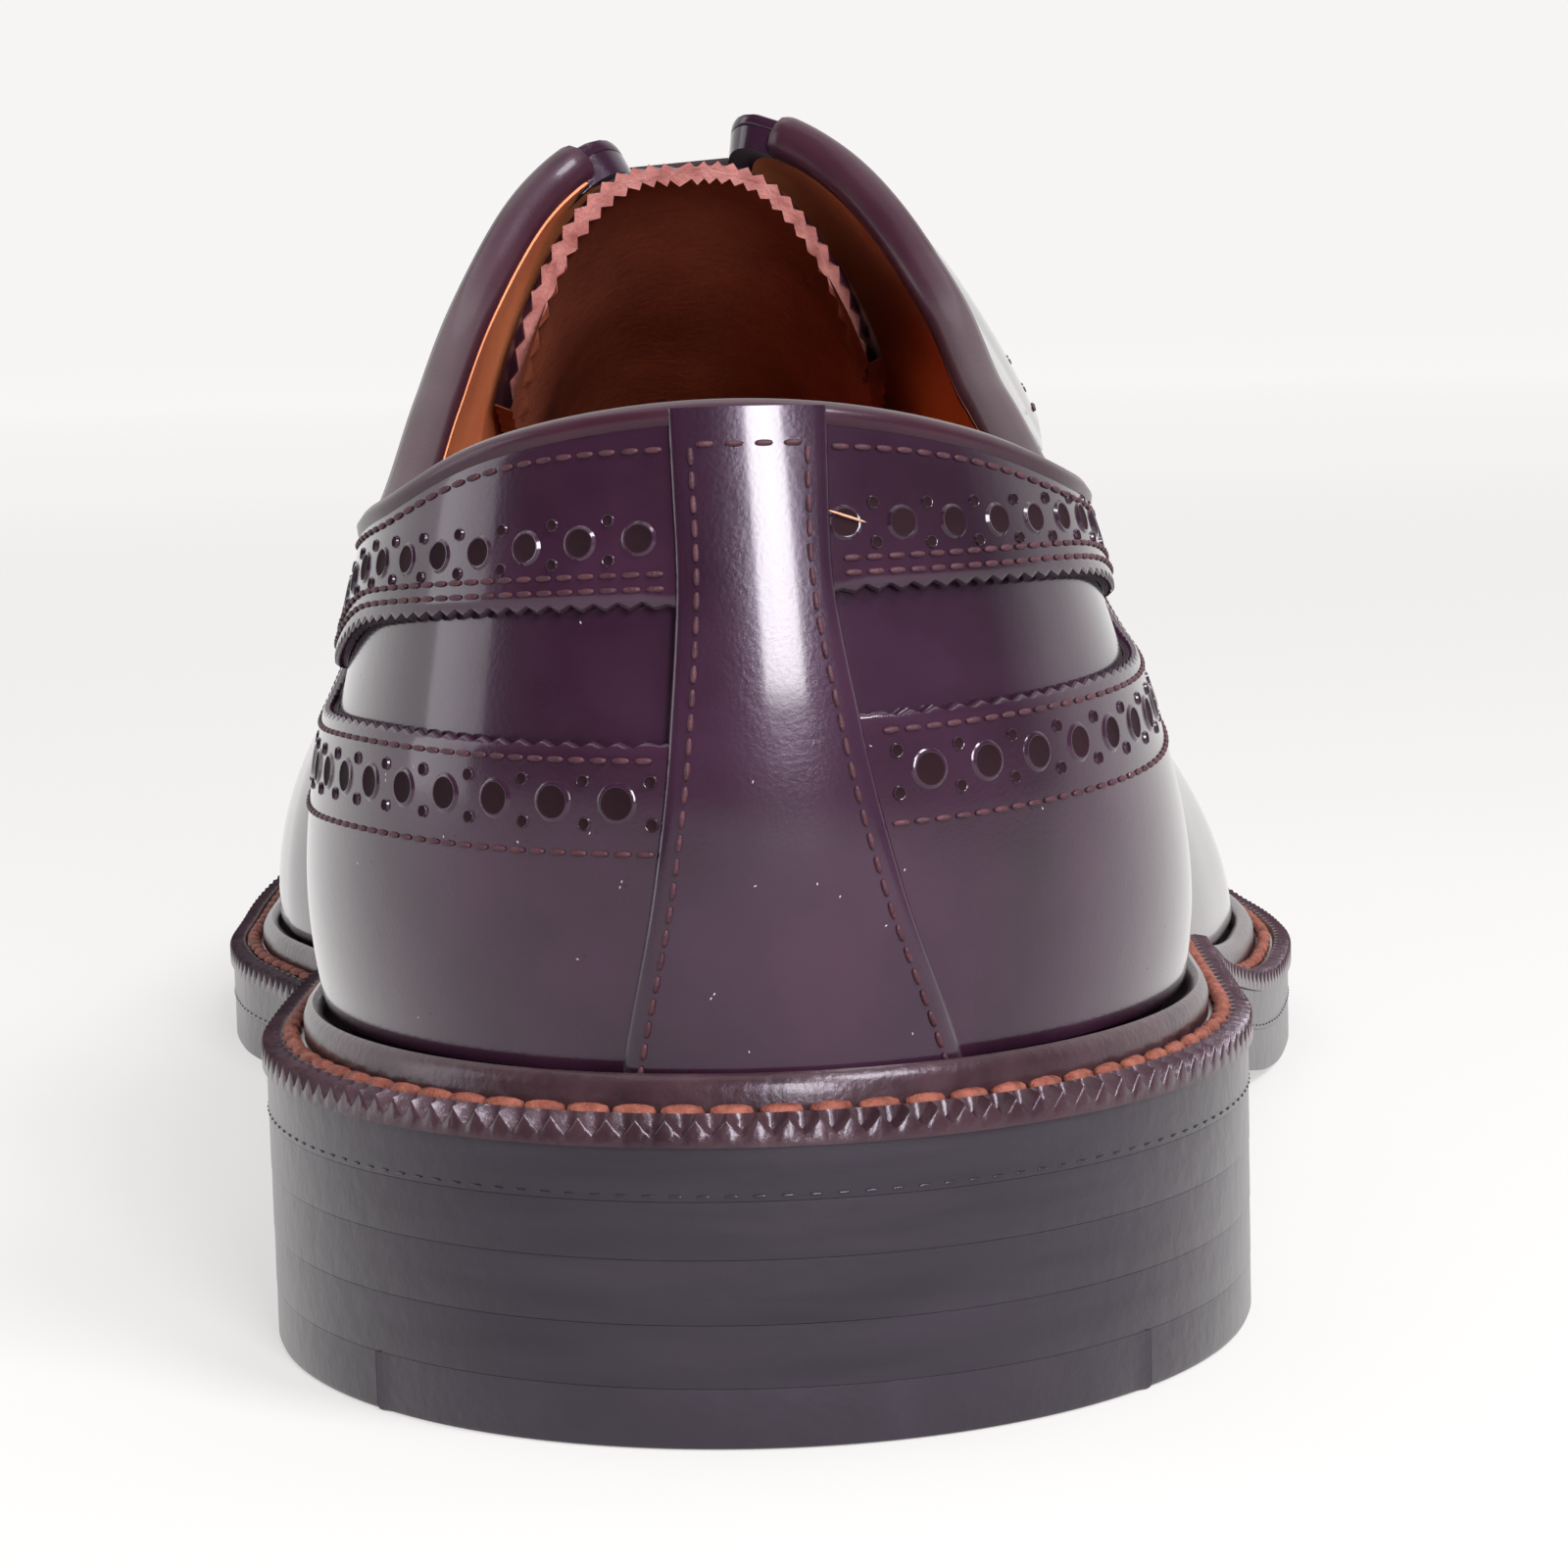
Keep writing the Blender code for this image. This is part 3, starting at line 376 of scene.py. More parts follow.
# Noise in the piece's own coordinates, stretched by a scale each way
def addNoise(nodes, links, scale, detail=4.0, stretch=(1, 1, 1)):
    place = nodes.new("ShaderNodeTexCoord")
    mapping = nodes.new("ShaderNodeMapping")
    mapping.inputs["Scale"].default_value = stretch
    noise = nodes.new("ShaderNodeTexNoise")
    noise.inputs["Scale"].default_value = scale
    noise.inputs["Detail"].default_value = detail
    links.new(place.outputs["Object"], mapping.inputs["Vector"])
    links.new(mapping.outputs["Vector"], noise.inputs["Vector"])
    return noise.outputs["Fac"]


# Colour ramp over a value
def addRamp(nodes, links, source, stops):
    ramp = nodes.new("ShaderNodeValToRGB")
    for k, (where, colour) in enumerate(stops):
        stop = ramp.color_ramp.elements[k] if k < 2 else ramp.color_ramp.elements.new(where)
        stop.position = where
        stop.color = (*colour, 1)
    links.new(source, ramp.inputs["Fac"])
    return ramp.outputs["Color"]


# Value brought from its own range to 0 to 1
def addRange(nodes, links, source, low, high):
    spread = nodes.new("ShaderNodeMapRange")
    spread.inputs["From Min"].default_value = low
    spread.inputs["From Max"].default_value = high
    links.new(source, spread.inputs["Value"])
    return spread.outputs["Result"]


# Bump laid over whatever bump is there already
def addBump(nodes, links, shader, source, strength, distance):
    bump = nodes.new("ShaderNodeBump")
    bump.inputs["Strength"].default_value = strength
    bump.inputs["Distance"].default_value = distance
    links.new(source, bump.inputs["Height"])
    if shader.inputs["Normal"].is_linked:
        links.new(shader.inputs["Normal"].links[0].from_socket, bump.inputs["Normal"])
    links.new(bump.outputs["Normal"], shader.inputs["Normal"])


# Glossy leather: two tones in soft clouds, a gentle unevenness and a fine grain under a coat
def polishedLeather(name, deep, bright, rough=0.24, coat=1.0):
    made, nodes, links, shader = makeMaterial(name, bright, rough, coat, 0.10)
    shader.inputs["Specular IOR Level"].default_value = 0.32
    cloud = addNoise(nodes, links, 60, 5)
    links.new(addRamp(nodes, links, cloud, [(0.30, deep), (0.70, bright)]), shader.inputs["Base Color"])
    addBump(nodes, links, shader, addNoise(nodes, links, 90, 3), 0.18, 0.0006)
    addBump(nodes, links, shader, addNoise(nodes, links, 2600, 3), 0.10, 0.0002)
    return made


# Plain leather, thread or rubber: two tones in a noise, a grain, and a little coat where asked
def plainLeather(name, deep, bright, rough, scale=140, grain=900, strength=0.35, stretch=(1, 1, 1), coat=0.0):
    made, nodes, links, shader = makeMaterial(name, bright, rough, coat, 0.2)
    shader.inputs["Specular IOR Level"].default_value = 0.35 if rough < 0.55 else 0.2
    cloud = addNoise(nodes, links, scale, 6, stretch)
    links.new(addRamp(nodes, links, cloud, [(0.28, deep), (0.72, bright)]), shader.inputs["Base Color"])
    addBump(nodes, links, shader, addNoise(nodes, links, grain, 4), strength, 0.0003)
    return made


plum = polishedLeather("plumLeather", (0.013, 0.0035, 0.010), (0.034, 0.012, 0.027))
plumPanel = polishedLeather("plumPanelLeather", (0.014, 0.004, 0.010), (0.038, 0.013, 0.029), 0.22)
plumRoll = polishedLeather("plumRollLeather", (0.022, 0.005, 0.010), (0.042, 0.012, 0.020), 0.36, 0.3)
lining = plainLeather("tanLining", (0.46, 0.12, 0.055), (0.74, 0.25, 0.10), 0.5, 45, 1400, 0.25)
# Tongue's inner face: the lining's colour darkened to red-brown, painted shade deep in the throat
tongueLiningPaintedShade = plainLeather("tongueLiningShadedMaterial", (0.10, 0.024, 0.014), (0.24, 0.070, 0.034), 0.6, 60, 1200, 0.4)
sockLeather = plainLeather("sockLeather", (0.30, 0.12, 0.06), (0.45, 0.21, 0.10), 0.6)
soleEdge = plainLeather("inkedEdge", (0.015, 0.012, 0.016), (0.025, 0.020, 0.027), 0.32, 50, 500, 0.35,
                        (1, 1, 9), 0.35)
rubber = plainLeather("blackRubber", (0.017, 0.013, 0.018), (0.026, 0.020, 0.028), 0.34, coat=0.5)
weltLeather = plainLeather("weltLeather", (0.022, 0.009, 0.012), (0.050, 0.024, 0.029), 0.30, 200, 900, 0.4,
                           (1, 1, 1), 0.4)
weltThread = plainLeather("weltThread", (0.10, 0.026, 0.018), (0.29, 0.095, 0.062), 0.6, 900, 4000, 0.5)
upperThread = plainLeather("upperThread", (0.030, 0.009, 0.013), (0.080, 0.028, 0.034), 0.5, 900, 4000, 0.4)
paleThread = plainLeather("paleThread", (0.55, 0.25, 0.15), (0.75, 0.42, 0.28), 0.6, 900, 4000, 0.4)
# Near-black for punched holes and eyelets: painted shade standing for the dark inside a hole
holePaintedShade = plainLeather("punchedHolePaintedShade", (0.008, 0.002, 0.003), (0.016, 0.005, 0.007), 0.9)
pinkedCut = plainLeather("pinkedCut", (0.26, 0.08, 0.07), (0.50, 0.22, 0.20), 0.6, 400, 2000, 0.4)
dust = plainLeather("paleDust", (0.30, 0.24, 0.26), (0.55, 0.48, 0.50), 0.8)
laceCotton = plainLeather("laceCotton", (0.014, 0.007, 0.009), (0.035, 0.018, 0.022), 0.7, 700, 5000, 0.6)
print("materials made")

# Upper: outer leather under the panels and the lining inside, rolled together at the top edge
upperSizes = {"leather": 0.0013, "lining": 0.0036, "rows": 26, "step": 0.0013, "bandFrom": 0.350}


# Upper: rows of shares from feather edge to top edge, outside and lining, round the whole ring
def makeUpper():
    stations = [np.arange(0, ringPlace(1, 0.338 * last["length"]), upperSizes["step"])]
    stations.append(np.arange(stations[0][-1] + 0.0005, ringPlace(1, 0.385 * last["length"]), 0.0005))
    end = float(ringPlace(1, throat["end"] * last["length"]))
    stations.append(np.arange(stations[1][-1] + 0.0013, end - 0.0008, 0.0016))
    stations.append(np.array([end - 0.0004, end]))
    stations.append(np.linspace(end + 0.002, halfRing, 90))
    half = np.concatenate(stations)
    q = np.concatenate([half, -half[-2:0:-1]])
    top = topShare(q)
    rows = np.linspace(0, 1, upperSizes["rows"] + 1)
    t = top[:, None] * rows[None, :]
    outer = leatherPoint(q[:, None], t, upperSizes["leather"])
    inner = leatherPoint(q[:, None], t, upperSizes["lining"])[:, ::-1]
    loops = np.concatenate([outer, inner], 1)
    forward = sideAndAlong(q)[1] > upperSizes["bandFrom"] * last["length"]
    facing = forward[:, None] & (np.arange(len(rows)) < 2)[None, :]
    tag = np.concatenate([np.zeros(outer.shape[:2]), np.where(facing, 0.0, 1.0)], 1)  # dark band inside facings
    made = sweep("upperShell", loops, [plum, lining], closed=True, tag=tag, merge=0.00003)
    paintInside(made)
    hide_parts("upper")


makeUpper()


roll = {"inset": 0.0016, "wide": 0.0021, "tall": 0.0013, "sunk": 0.0004, "corner": 0.012}


# Rolled edge: a round profile carried along the topline, from facing corner to facing corner
def makeTopline():
    end = float(ringPlace(1, 0.3545 * last["length"]))
    bend = end - roll["corner"]
    half = np.concatenate([np.arange(0, bend, 0.0012), np.linspace(bend, end, 40)])
    q = np.concatenate([-half[:0:-1], half])
    top = topShare(q)
    point = leatherPoint(q, top, roll["inset"])
    inward = unit(leatherPoint(q, top, upperSizes["lining"]) - leatherPoint(q, top, 0.0))
    upward = unit(np.cross(inward, unit(np.gradient(point, axis=0))))
    upward *= np.sign(upward[:, 2:3])
    sweep("toplineRoll", ovalLoops(point, inward, upward, roll["wide"], roll["tall"], roll["sunk"]), plumRoll)


makeTopline()

welt = {"thick": 0.0024, "bead": 0.0026, "beadWide": 0.0028, "notchPitch": 0.0023, "notchDeep": 0.0013,
        "stitchPitch": 0.0037}

# Overlay panels: distances from an edge and insets that round it over
roundOver = ((0.0002, 0.00125), (0.0, 0.0011), (0.0, 0.0005), (0.00015, 0.00012), (0.0006, 0.0))
pinking = {"pitch": 0.0019, "depth": 0.00055, "fadeIn": 0.003}
panel = {"rim": 0.0016, "under": 0.00125, "tuck": 0.0004, "slide": 0.018, "joined": 0.692, "joining": 0.010}


# Panel: rounded edges low and high with face rows between, along ring places, its first column slid to the strip
def makePanel(name, q, lowEdge, highEdge, faceRows, fromStrip=False, pinkLow=False, pinkHigh=False, plainFrom=0.0):
    low, high = lowEdge(q), highEdge(q)
    perShare, perHigh = perShareAt(q, low, 0.01), perShareAt(q, high, -0.01)
    teeth = (np.arange(len(q)) % 2) * pinking["depth"]
    teeth = teeth * np.clip((np.abs(q - q[0]) - plainFrom) / pinking["fadeIn"], 0, 1)
    rows, insets = [], []
    for distance, inset in roundOver:
        cut = teeth * (distance < 0.0005) if pinkLow else 0
        rows.append(low + (distance + cut) / perShare)
        insets.append(inset)
    start = low + panel["rim"] / perShare
    end = high - panel["rim"] / perHigh
    for f in np.linspace(0, 1, faceRows):
        rows.append(start + np.maximum(end - start, 0) * f)
        insets.append(0.0)
    along = sideAndAlong(q)[1] / last["length"]
    apart = 1 - np.clip((along - panel["joined"]) / panel["joining"], 0, 1)  # 0 where both sides join
    for distance, inset in roundOver[::-1]:
        cut = teeth * (distance < 0.0005) if pinkHigh else 0
        rows.append(high - (distance + cut) * apart / perHigh)
        insets.append(inset * apart)
    for f in (0.75, 0.5, 0.25):
        rows.append(start + np.maximum(end - start, 0) * f)
        insets.append(panel["under"])
    t = np.clip(np.stack(rows, 1), 0, 1)
    insets = np.stack([np.broadcast_to(inset, q.shape) for inset in insets], 1)
    places = np.repeat(q[:, None], t.shape[1], 1)
    if fromStrip:
        side = 1 if q[0] > 0 else -1
        edge = stripPlace(stripX(t[0], side, -panel["tuck"]), t[0])
        fade = np.clip(1 - np.abs(q - q[0]) / panel["slide"], 0, 1)[:, None]
        places = places + (edge - q[0])[None, :] * fade
    loops = leatherPoint(places, t, insets)
    return sweep(name, loops, plumPanel, merge=0.000005)


# Share where a panel's low edge tucks behind the welt's bead
def beadShare(q):
    return shareAtHeight(q, welt["thick"] + welt["bead"] - 0.0006)


# Evenly spaced ring places along an edge curve, half a tooth apart
def evenPlaces(start, end, edge, pitch):
    tries = np.linspace(start, end, 2400)
    points = leatherPoint(tries, edge(tries))
    run = runAlong(points)
    count = max(int(run[-1] / pitch), 4)
    return np.interp(np.linspace(0, run[-1], count + 1), run, tries)


# Top edge of the wing: its table, kept just short of the ridge until both sides join
def wingTop(q):
    return np.minimum(edgeShare(wingEdge, q), np.where(sideAndAlong(q)[1] > 0.7 * last["length"], 1.0, 0.99))


# Low edge shared by collar panels and facings
def collarLow(q):
    return edgeShare(panelEdge, q)


sides = (("outer", 1), ("inner", -1))
collarFront = 0.195 * last["length"]
wing = {"tip": 0.699, "faceRows": 22, "toeColumns": 100, "stitches": (-0.0015, -0.0086)}
collar = {"faceRows": 14, "stitches": (0.0015, 0.0026)}
facing = {"back": 0.272, "front": 0.594, "faceRows": 16, "plainFrom": {"outer": 0.016, "inner": 0.0}}


# Long wing: one panel a side, from under the back strip to the toe's tip
def makeWing():
    for word, side in sides:
        tip = placeAt(side, wing["tip"])
        q = evenPlaces(besideStrip(side, 0.3), tip, wingTop, pinking["pitch"] / 2)
        q = np.concatenate([q, np.linspace(tip, side * halfRing, wing["toeColumns"])[1:]])
        made = makePanel(f"wing_{word}", q, beadShare, wingTop, wing["faceRows"], True, pinkHigh=True)
        if side > 0:
            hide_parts("wing_cap")


makeWing()


# Collar panels: from the back strip forward to the collar's front
def makeCollarPanels():
    for word, side in sides:
        end = float(ringPlace(side, collarFront - 0.0002))
        q = evenPlaces(besideStrip(side, 0.6), end, collarLow, pinking["pitch"] / 2)
        made = makePanel(f"collar_{word}", q, collarLow, topShare, collar["faceRows"], True, pinkLow=True)
        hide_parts(f"collar_panel_{word}")


makeCollarPanels()


# Facings: from the ankle to the throat's end, pinked below
def makeFacings():
    for word, side in sides:
        start, end = placeAt(side, facing["back"]), placeAt(side, facing["front"])
        q = evenPlaces(start, end, collarLow, pinking["pitch"] / 2)
        made = makePanel(f"facing_flap_{word}", q, collarLow, topShare, facing["faceRows"], pinkLow=True,
                         plainFrom=facing["plainFrom"][word])
        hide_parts(f"facing_{word}")


makeFacings()


# Back strip: rows of shares up the heel, a rounded profile across, from edge to edge
def makeStrip():
    t = np.linspace(0.045, 0.689, 70)
    t[-1] = 0.688  # just short of the topline
    corner = ((1.0, 0.0011), (1.0, 0.0004), (0.985, -0.0001), (0.95, -0.0005))  # share across, inset
    across = [(-f, inset) for f, inset in corner]
    across += [(f, -strip["thick"]) for f in np.linspace(-0.88, 0.88, 23)]
    across += corner[::-1]
    across += [(f, corner[0][1]) for f in (0.6, 0.3, 0.0, -0.3, -0.6)]
    left, right = stripX(t, -1), stripX(t, 1)
    loops = []
    for f, inset in across:
        x = left + (right - left) * (f + 1) / 2
        loops.append(leatherPoint(stripPlace(x, t), t, inset))
    made = sweep("backStrip", np.stack(loops, 1), plum)
    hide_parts("back_strip")


makeStrip()
print("upper, panels and strip made")


stitch = {"pitch": 0.0018, "size": (0.0014, 0.00048, 0.00040), "offStrip": 0.0008, "onStrip": 0.0017,
          "facing": 0.0016, "facingEdge": 0.0022, "topline": 0.0019, "toplineMore": 0.0012, "toplineFade": 0.024,
          "facingFrom": {"outer": 0.335, "inner": 0.276}}


# Many small round shapes in one mesh: points as shapes of rings, joined ring to ring
def joinRings(name, points, rings, sides):
    count = points.size // (3 * rings * sides)
    grid = np.arange(rings * sides).reshape(rings, sides)
    quads = np.stack([grid[:-1], grid[1:], np.roll(grid[1:], -1, 1), np.roll(grid[:-1], -1, 1)], -1).reshape(-1, 4)
    faces = (quads[None] + (np.arange(count) * rings * sides)[:, None, None]).reshape(-1, 4)
    mesh = bpy.data.meshes.new(name)
    mesh.from_pydata(points.reshape(-1, 3).tolist(), [], faces.tolist())
    return mesh


# Points or arrows of a row at given runs along it
def pointsAt(where, run, row):
    return np.stack([np.interp(where, run, row[:, k]) for k in range(3)], 1)


# Stitches: short fat beads laid along a path, each an ellipsoid of a few rings
def makeStitches(name, path, normals, pitch, size, material, sink=0.3, slant=0.0):
    run = runAlong(path)
    count = max(int(run[-1] / pitch), 1)
    middle = (np.arange(count) + 0.5) * run[-1] / count
    centre = pointsAt(middle, run, path)
    up = unit(pointsAt(middle, run, normals))
    along = unit(pointsAt(middle + pitch / 3, run, path) - pointsAt(middle - pitch / 3, run, path))
    cross = np.cross(up, along)
    along, cross = along + slant * cross, cross - slant * along
    rings, sides = 7, 8
    u = np.linspace(0, math.pi, rings)[:, None]
    v = np.linspace(0, 2 * math.pi, sides + 1)[None, :-1]
    length, wide, tall = size
    x = -length / 2 * np.cos(u) * np.ones_like(v)
    y = wide / 2 * np.sin(u) ** 0.6 * np.cos(v)
    z = tall / 2 * np.sin(u) ** 0.6 * np.sin(v)
    shape = np.stack([x, y, z], -1).reshape(-1, 3)
    points = (centre[:, None] + along[:, None] * shape[None, :, :1] + cross[:, None] * shape[None, :, 1:2]
              + up[:, None] * (shape[None, :, 2:] + tall * (0.5 - sink)))
    mesh = joinRings(name, points, rings, sides)
    mergeClose(mesh, 0.000004)
    return finishPiece(name, mesh, material)


# Surface normal: cross product of a step round the ring and a step up the rib, turned outwards
def normalAt(q, t):
    around = leatherPoint(q + 0.0006, t) - leatherPoint(q - 0.0006, t)
    upward = leatherPoint(q, t + 0.004) - leatherPoint(q, t - 0.004)
    out = np.cross(around, upward)
    out *= np.sign((out * (leatherPoint(q, t, -0.001) - leatherPoint(q, t))).sum(-1, keepdims=True))
    return unit(out)


# Curve at a true distance beside an edge curve: a step over the surface, square to the edge's slope
def besideEdge(q, edge, distance):
    t = edge(q)
    around = np.linalg.norm(leatherPoint(q + 0.0005, t) - leatherPoint(q - 0.0005, t), axis=-1) / 0.001
    upward = perShareAt(q, t)
    slope = np.gradient(t, q) * upward / around
    size = np.sqrt(1 + slope ** 2)
    return q - distance * slope / size / around, np.minimum(t + distance / size / upward, 0.998)


# Row of stitches at a distance from an edge curve
def stitchAlong(name, q, edge, distance):
    q, t = besideEdge(q, edge, distance)
    makeStitches(name, leatherPoint(q, t), normalAt(q, t), stitch["pitch"], stitch["size"], upperThread)


# Plain row of ring places
def dense(start, end, count=700):
    return np.linspace(start, end, count)


# Row of stitches on the back strip's face, at sideways places and shares
def stitchOnStrip(name, x, t):
    q = stripPlace(x, t)
    makeStitches(name, leatherPoint(q, t, -strip["thick"]), normalAt(q, t), stitch["pitch"], stitch["size"],
                 upperThread)


# All rows on the upper: wing, collar, topline, facings and strip, each a distance from its edge
def makeUpperStitches():
    for word, side in sides:
        low = besideStrip(side, 0.35) + side * stitch["offStrip"]
        for row, distance in zip(("top", "low"), wing["stitches"]):
            stitchAlong(f"wing_stitch_{row}_{word}", dense(low, placeAt(side, 0.6992)), wingTop, distance)
        high = besideStrip(side, 0.6) + side * stitch["offStrip"]
        front = float(ringPlace(side, collarFront - 0.002))
        for row, distance in zip("ab", collar["stitches"]):
            stitchAlong(f"collar_stitch_{row}_{word}", dense(high, front), collarLow, distance)
        edge = dense(high, placeAt(side, 0.34))
        fall = stitch["topline"] + stitch["toplineMore"] * np.exp(-(edge / stitch["toplineFade"]) ** 2)
        stitchAlong(f"topline_stitch_a_{word}", edge, topShare, -fall)
        back, root = placeAt(side, stitch["facingFrom"][word]), placeAt(side, 0.59)
        stitchAlong(f"facing_stitch_{word}", dense(back, root), collarLow, stitch["facing"])
        edge = dense(placeAt(side, 0.366), root)
        stitchAlong(f"facing_edge_stitch_{word}", edge, topShare, -stitch["facingEdge"])
        t = np.linspace(0.055, 0.655, 260)
        stitchOnStrip(f"strip_stitch_{word}", stripX(t, side) - side * stitch["onStrip"], t)
    ends = stripX(0.65, -1) + stitch["onStrip"], stripX(0.65, 1) - stitch["onStrip"]
    stitchOnStrip("strip_stitch_top", np.linspace(*ends, 60), np.full(60, 0.655))


makeUpperStitches()
print("upper stitches made")


# Hole rows: distance from the edge (the collar's is worked out), first hole, pitch, big radius, small radius, spread
holes = {
    "wing": {"outer": (-0.0047, 0.0040, 0.0054, 0.00125, 0.00045, 0.0016),
             "inner": (-0.0047, 0.0034, 0.0054, 0.00125, 0.00045, 0.0016)},
    "collar": {"outer": (0.0012, 0.0048, 0.00108, 0.00042, 0.0015),
               "inner": (0.0026, 0.0048, 0.00108, 0.00042, 0.0015)},
    "facing": (0.0050, 0.004, 0.0054, 0.00115, 0.00045, 0.0015), "facingFrom": {"outer": 0.345, "inner": 0.285},
}


# Punched holes: a near-black dish of painted shade standing for the hole's depth, with a soft turned lip, each a few
# rings, laid on the panel's face
def makeHoles(name, centre, normal, along, radii):
    rings = np.array([(0.0, 0.00010), (0.86, 0.00010), (0.98, 0.00015), (1.08, 0.00017), (1.30, -0.00006)])
    sides = 20
    turn = np.linspace(0, 2 * math.pi, sides + 1)[:-1]
    cross = unit(np.cross(normal, along))
    along = np.cross(cross, normal)
    shape = rings[:, 0][None, :, None] * radii[:, None, None]
    x = shape * np.cos(turn)
    y = shape * np.sin(turn)
    z = np.repeat(np.repeat(rings[:, 1][None, :, None], sides, 2), len(centre), 0)
    points = (centre[:, None, None] + along[:, None, None] * x[..., None] + cross[:, None, None] * y[..., None]
              + normal[:, None, None] * z[..., None])
    mesh = joinRings(name, points, len(rings), sides)
    # The dish's near-black is painted shade, the lip is the panel's leather
    slots = np.repeat(np.array([0, 0, 1, 1]), sides)  # dark dish, then the lip
    mesh.polygons.foreach_set("material_index", np.tile(slots, len(centre)).tolist())
    mergeClose(mesh, 0.000002, turn=False)
    if mathutils.Vector(normal[0]).dot(mesh.polygons[0].normal) < 0:
        mesh.flip_normals()
    return finishPiece(name, mesh, [holePaintedShade, plumPanel])


# Row of big holes with a pair of small ones between each two, at a distance from an edge
def holesAlong(name, start, end, edge, distance, first, pitch, big, small, spread):
    q, t = besideEdge(np.linspace(start, end, 1500), edge, distance)
    path = leatherPoint(q, t)
    run = runAlong(path)
    bigRuns = np.arange(first, run[-1] - big, pitch)
    lead = first - pitch / 2
    smallRuns = np.arange(lead if lead > 1.3 * small else lead + pitch, run[-1] - small, pitch)
    runs = np.concatenate([bigRuns, smallRuns, smallRuns])
    shifts = np.concatenate([np.zeros(len(bigRuns)), np.full(len(smallRuns), spread),
                             np.full(len(smallRuns), -spread)])
    radii = np.concatenate([np.full(len(bigRuns), big), np.full(2 * len(smallRuns), small)])
    place = np.interp(runs, run, q)
    share = np.interp(runs, run, t)
    share = share + shifts / perShareAt(place, share)
    step = 0.0004
    along = leatherPoint(place + step, share) - leatherPoint(place - step, share)
    makeHoles(name, leatherPoint(place, share), normalAt(place, share), along, radii)


# All rows of holes: wing, collar panels and facings
def makeBroguing():
    for word, side in sides:
        low, tip = besideStrip(side, 0.33), placeAt(side, 0.6975)
        holesAlong(f"wing_holes_{word}", low, tip, wingTop, *holes["wing"][word])
        high, front = besideStrip(side, 0.59), float(ringPlace(side, collarFront - 0.004))
        over = 0.0046 + 0.0008 * np.exp(-(dense(high, front, 1500) / 0.03) ** 2)  # further up near the strip
        holesAlong(f"collar_holes_{word}", high, front, collarLow, over, *holes["collar"][word])
        back, root = placeAt(side, holes["facingFrom"][word]), placeAt(side, 0.585)
        holesAlong(f"facing_holes_{word}", back, root, collarLow, *holes["facing"])


makeBroguing()


# Dust: tiny pale specks at random places on strip, panels and quarters; a loose thread over one hole
def makeSpecks():
    random, count = np.random.default_rng(7), 90
    q = random.uniform(-0.075, 0.075, count)
    t = random.uniform(0.08, 0.60, count)
    centre, normal = leatherPoint(q, t, -strip["thick"]), normalAt(q, t)
    spin = random.normal(size=(count, 3))
    for k in range(0, count, 3):
        path = np.stack([centre[k], centre[k] + 0.0004 * np.cross(normal[k], spin[k])])
        makeStitches(f"speck_{k // 3}", path, normal[[k, k]], 0.0004, (0.00022, 0.00010, 0.00005), dust, 0.4)
    place = besideStrip(1, 0.6)
    q = np.linspace(place + 0.0002, place + 0.0034, 20)
    t = collarLow(q) + (0.0056 + np.linspace(0.0004, -0.0003, 20)) / perShareAt(q, collarLow(q))
    makeStitches("looseThread", leatherPoint(q, t), normalAt(q, t), 0.004, (0.0032, 0.00020, 0.00030),
                 paleThread, -0.5)


makeSpecks()
print("broguing made")


tongue = {"back": 0.344, "front": 0.640, "count": 96, "across": 61, "outer": 0.0044, "inner": 0.0060,
          "slack": 0.0060, "crown": 0.0014, "crownWide": 0.22, "edgeTooth": 0.005, "toothUp": 0.0005,
          "toothAlong": 0.0008, "bend": 0.010}


# Tongue: a bent sheet across both sides with pinked edges, outer face plum, inner face the lining darkened to brown
# as painted shade
def makeTongue():
    length, count = last["length"], tongue["count"]
    stations = np.linspace(tongue["back"], tongue["front"], count)
    f = np.linspace(-1, 1, tongue["across"])
    fade = np.clip((throat["end"] - stations) / (throat["end"] - throat["top"]), 0, 1)
    outer, inner = [], []
    teeth = (np.arange(count) % 2) * tongue["edgeTooth"]
    q = {side: ringPlace(side, stations * length) for side in (1, -1)}
    for number, value in enumerate(f):
        side = 1 if value >= 0 else -1
        edge = edgeShare(tongueEdge, q[side])
        edge = edge + teeth * (abs(value) > 0.9)
        t = 1 - (1 - edge) * abs(value)
        crown = tongue["crown"] * math.exp(-(value / tongue["crownWide"]) ** 2) + np.zeros(count)
        crown[:2] += tongue["toothUp"] * (number % 2)
        slack = tongue["slack"] * fade * abs(value) ** 1.5 if side > 0 else 0.0
        if side > 0:  # the outer ribs rise higher: bring the ridge down to the inner side's
            slack = slack + last["outerLift"] * np.maximum(read(ribs, "spread", stations), 0) * (1 - abs(value)) ** 2
        place = q[side].copy()
        for k in range(4):  # back edge bent forward at both sides, and pinked
            forward = tongue["bend"] * (1 - 0.2 * k) * abs(value) ** 3
            forward += tongue["toothAlong"] * (number % 2) * (k == 0)
            place[k] = ringPlace(side, stations[k] * length + forward)
        outer.append(leatherPoint(place, t, tongue["outer"] + slack + crown))
        inner.append(leatherPoint(place, t, tongue["inner"] + slack + crown))
    loops = np.concatenate([np.stack(outer, 1), np.stack(inner, 1)[:, ::-1]], 1)
    tag = np.concatenate([np.zeros((count, len(f))), np.ones((count, len(f)))], 1)
    made = sweep("tonguePiece", loops, [plumRoll, tongueLiningPaintedShade, pinkedCut], tag=tag)
    paintInside(made)
    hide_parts("tongue")


makeTongue()
print("tongue made")


# Ring places a step apart along the outline, a whole number of fours round the shoe
def ringColumns(step):
    tries = np.linspace(-halfRing, halfRing, 8000)
    points = outline(tries)
    run = runAlong(points)
    count = int(run[-1] / step / 4) * 4
    return np.interp(np.arange(count) / count * run[-1], run, tries), run[-1], count


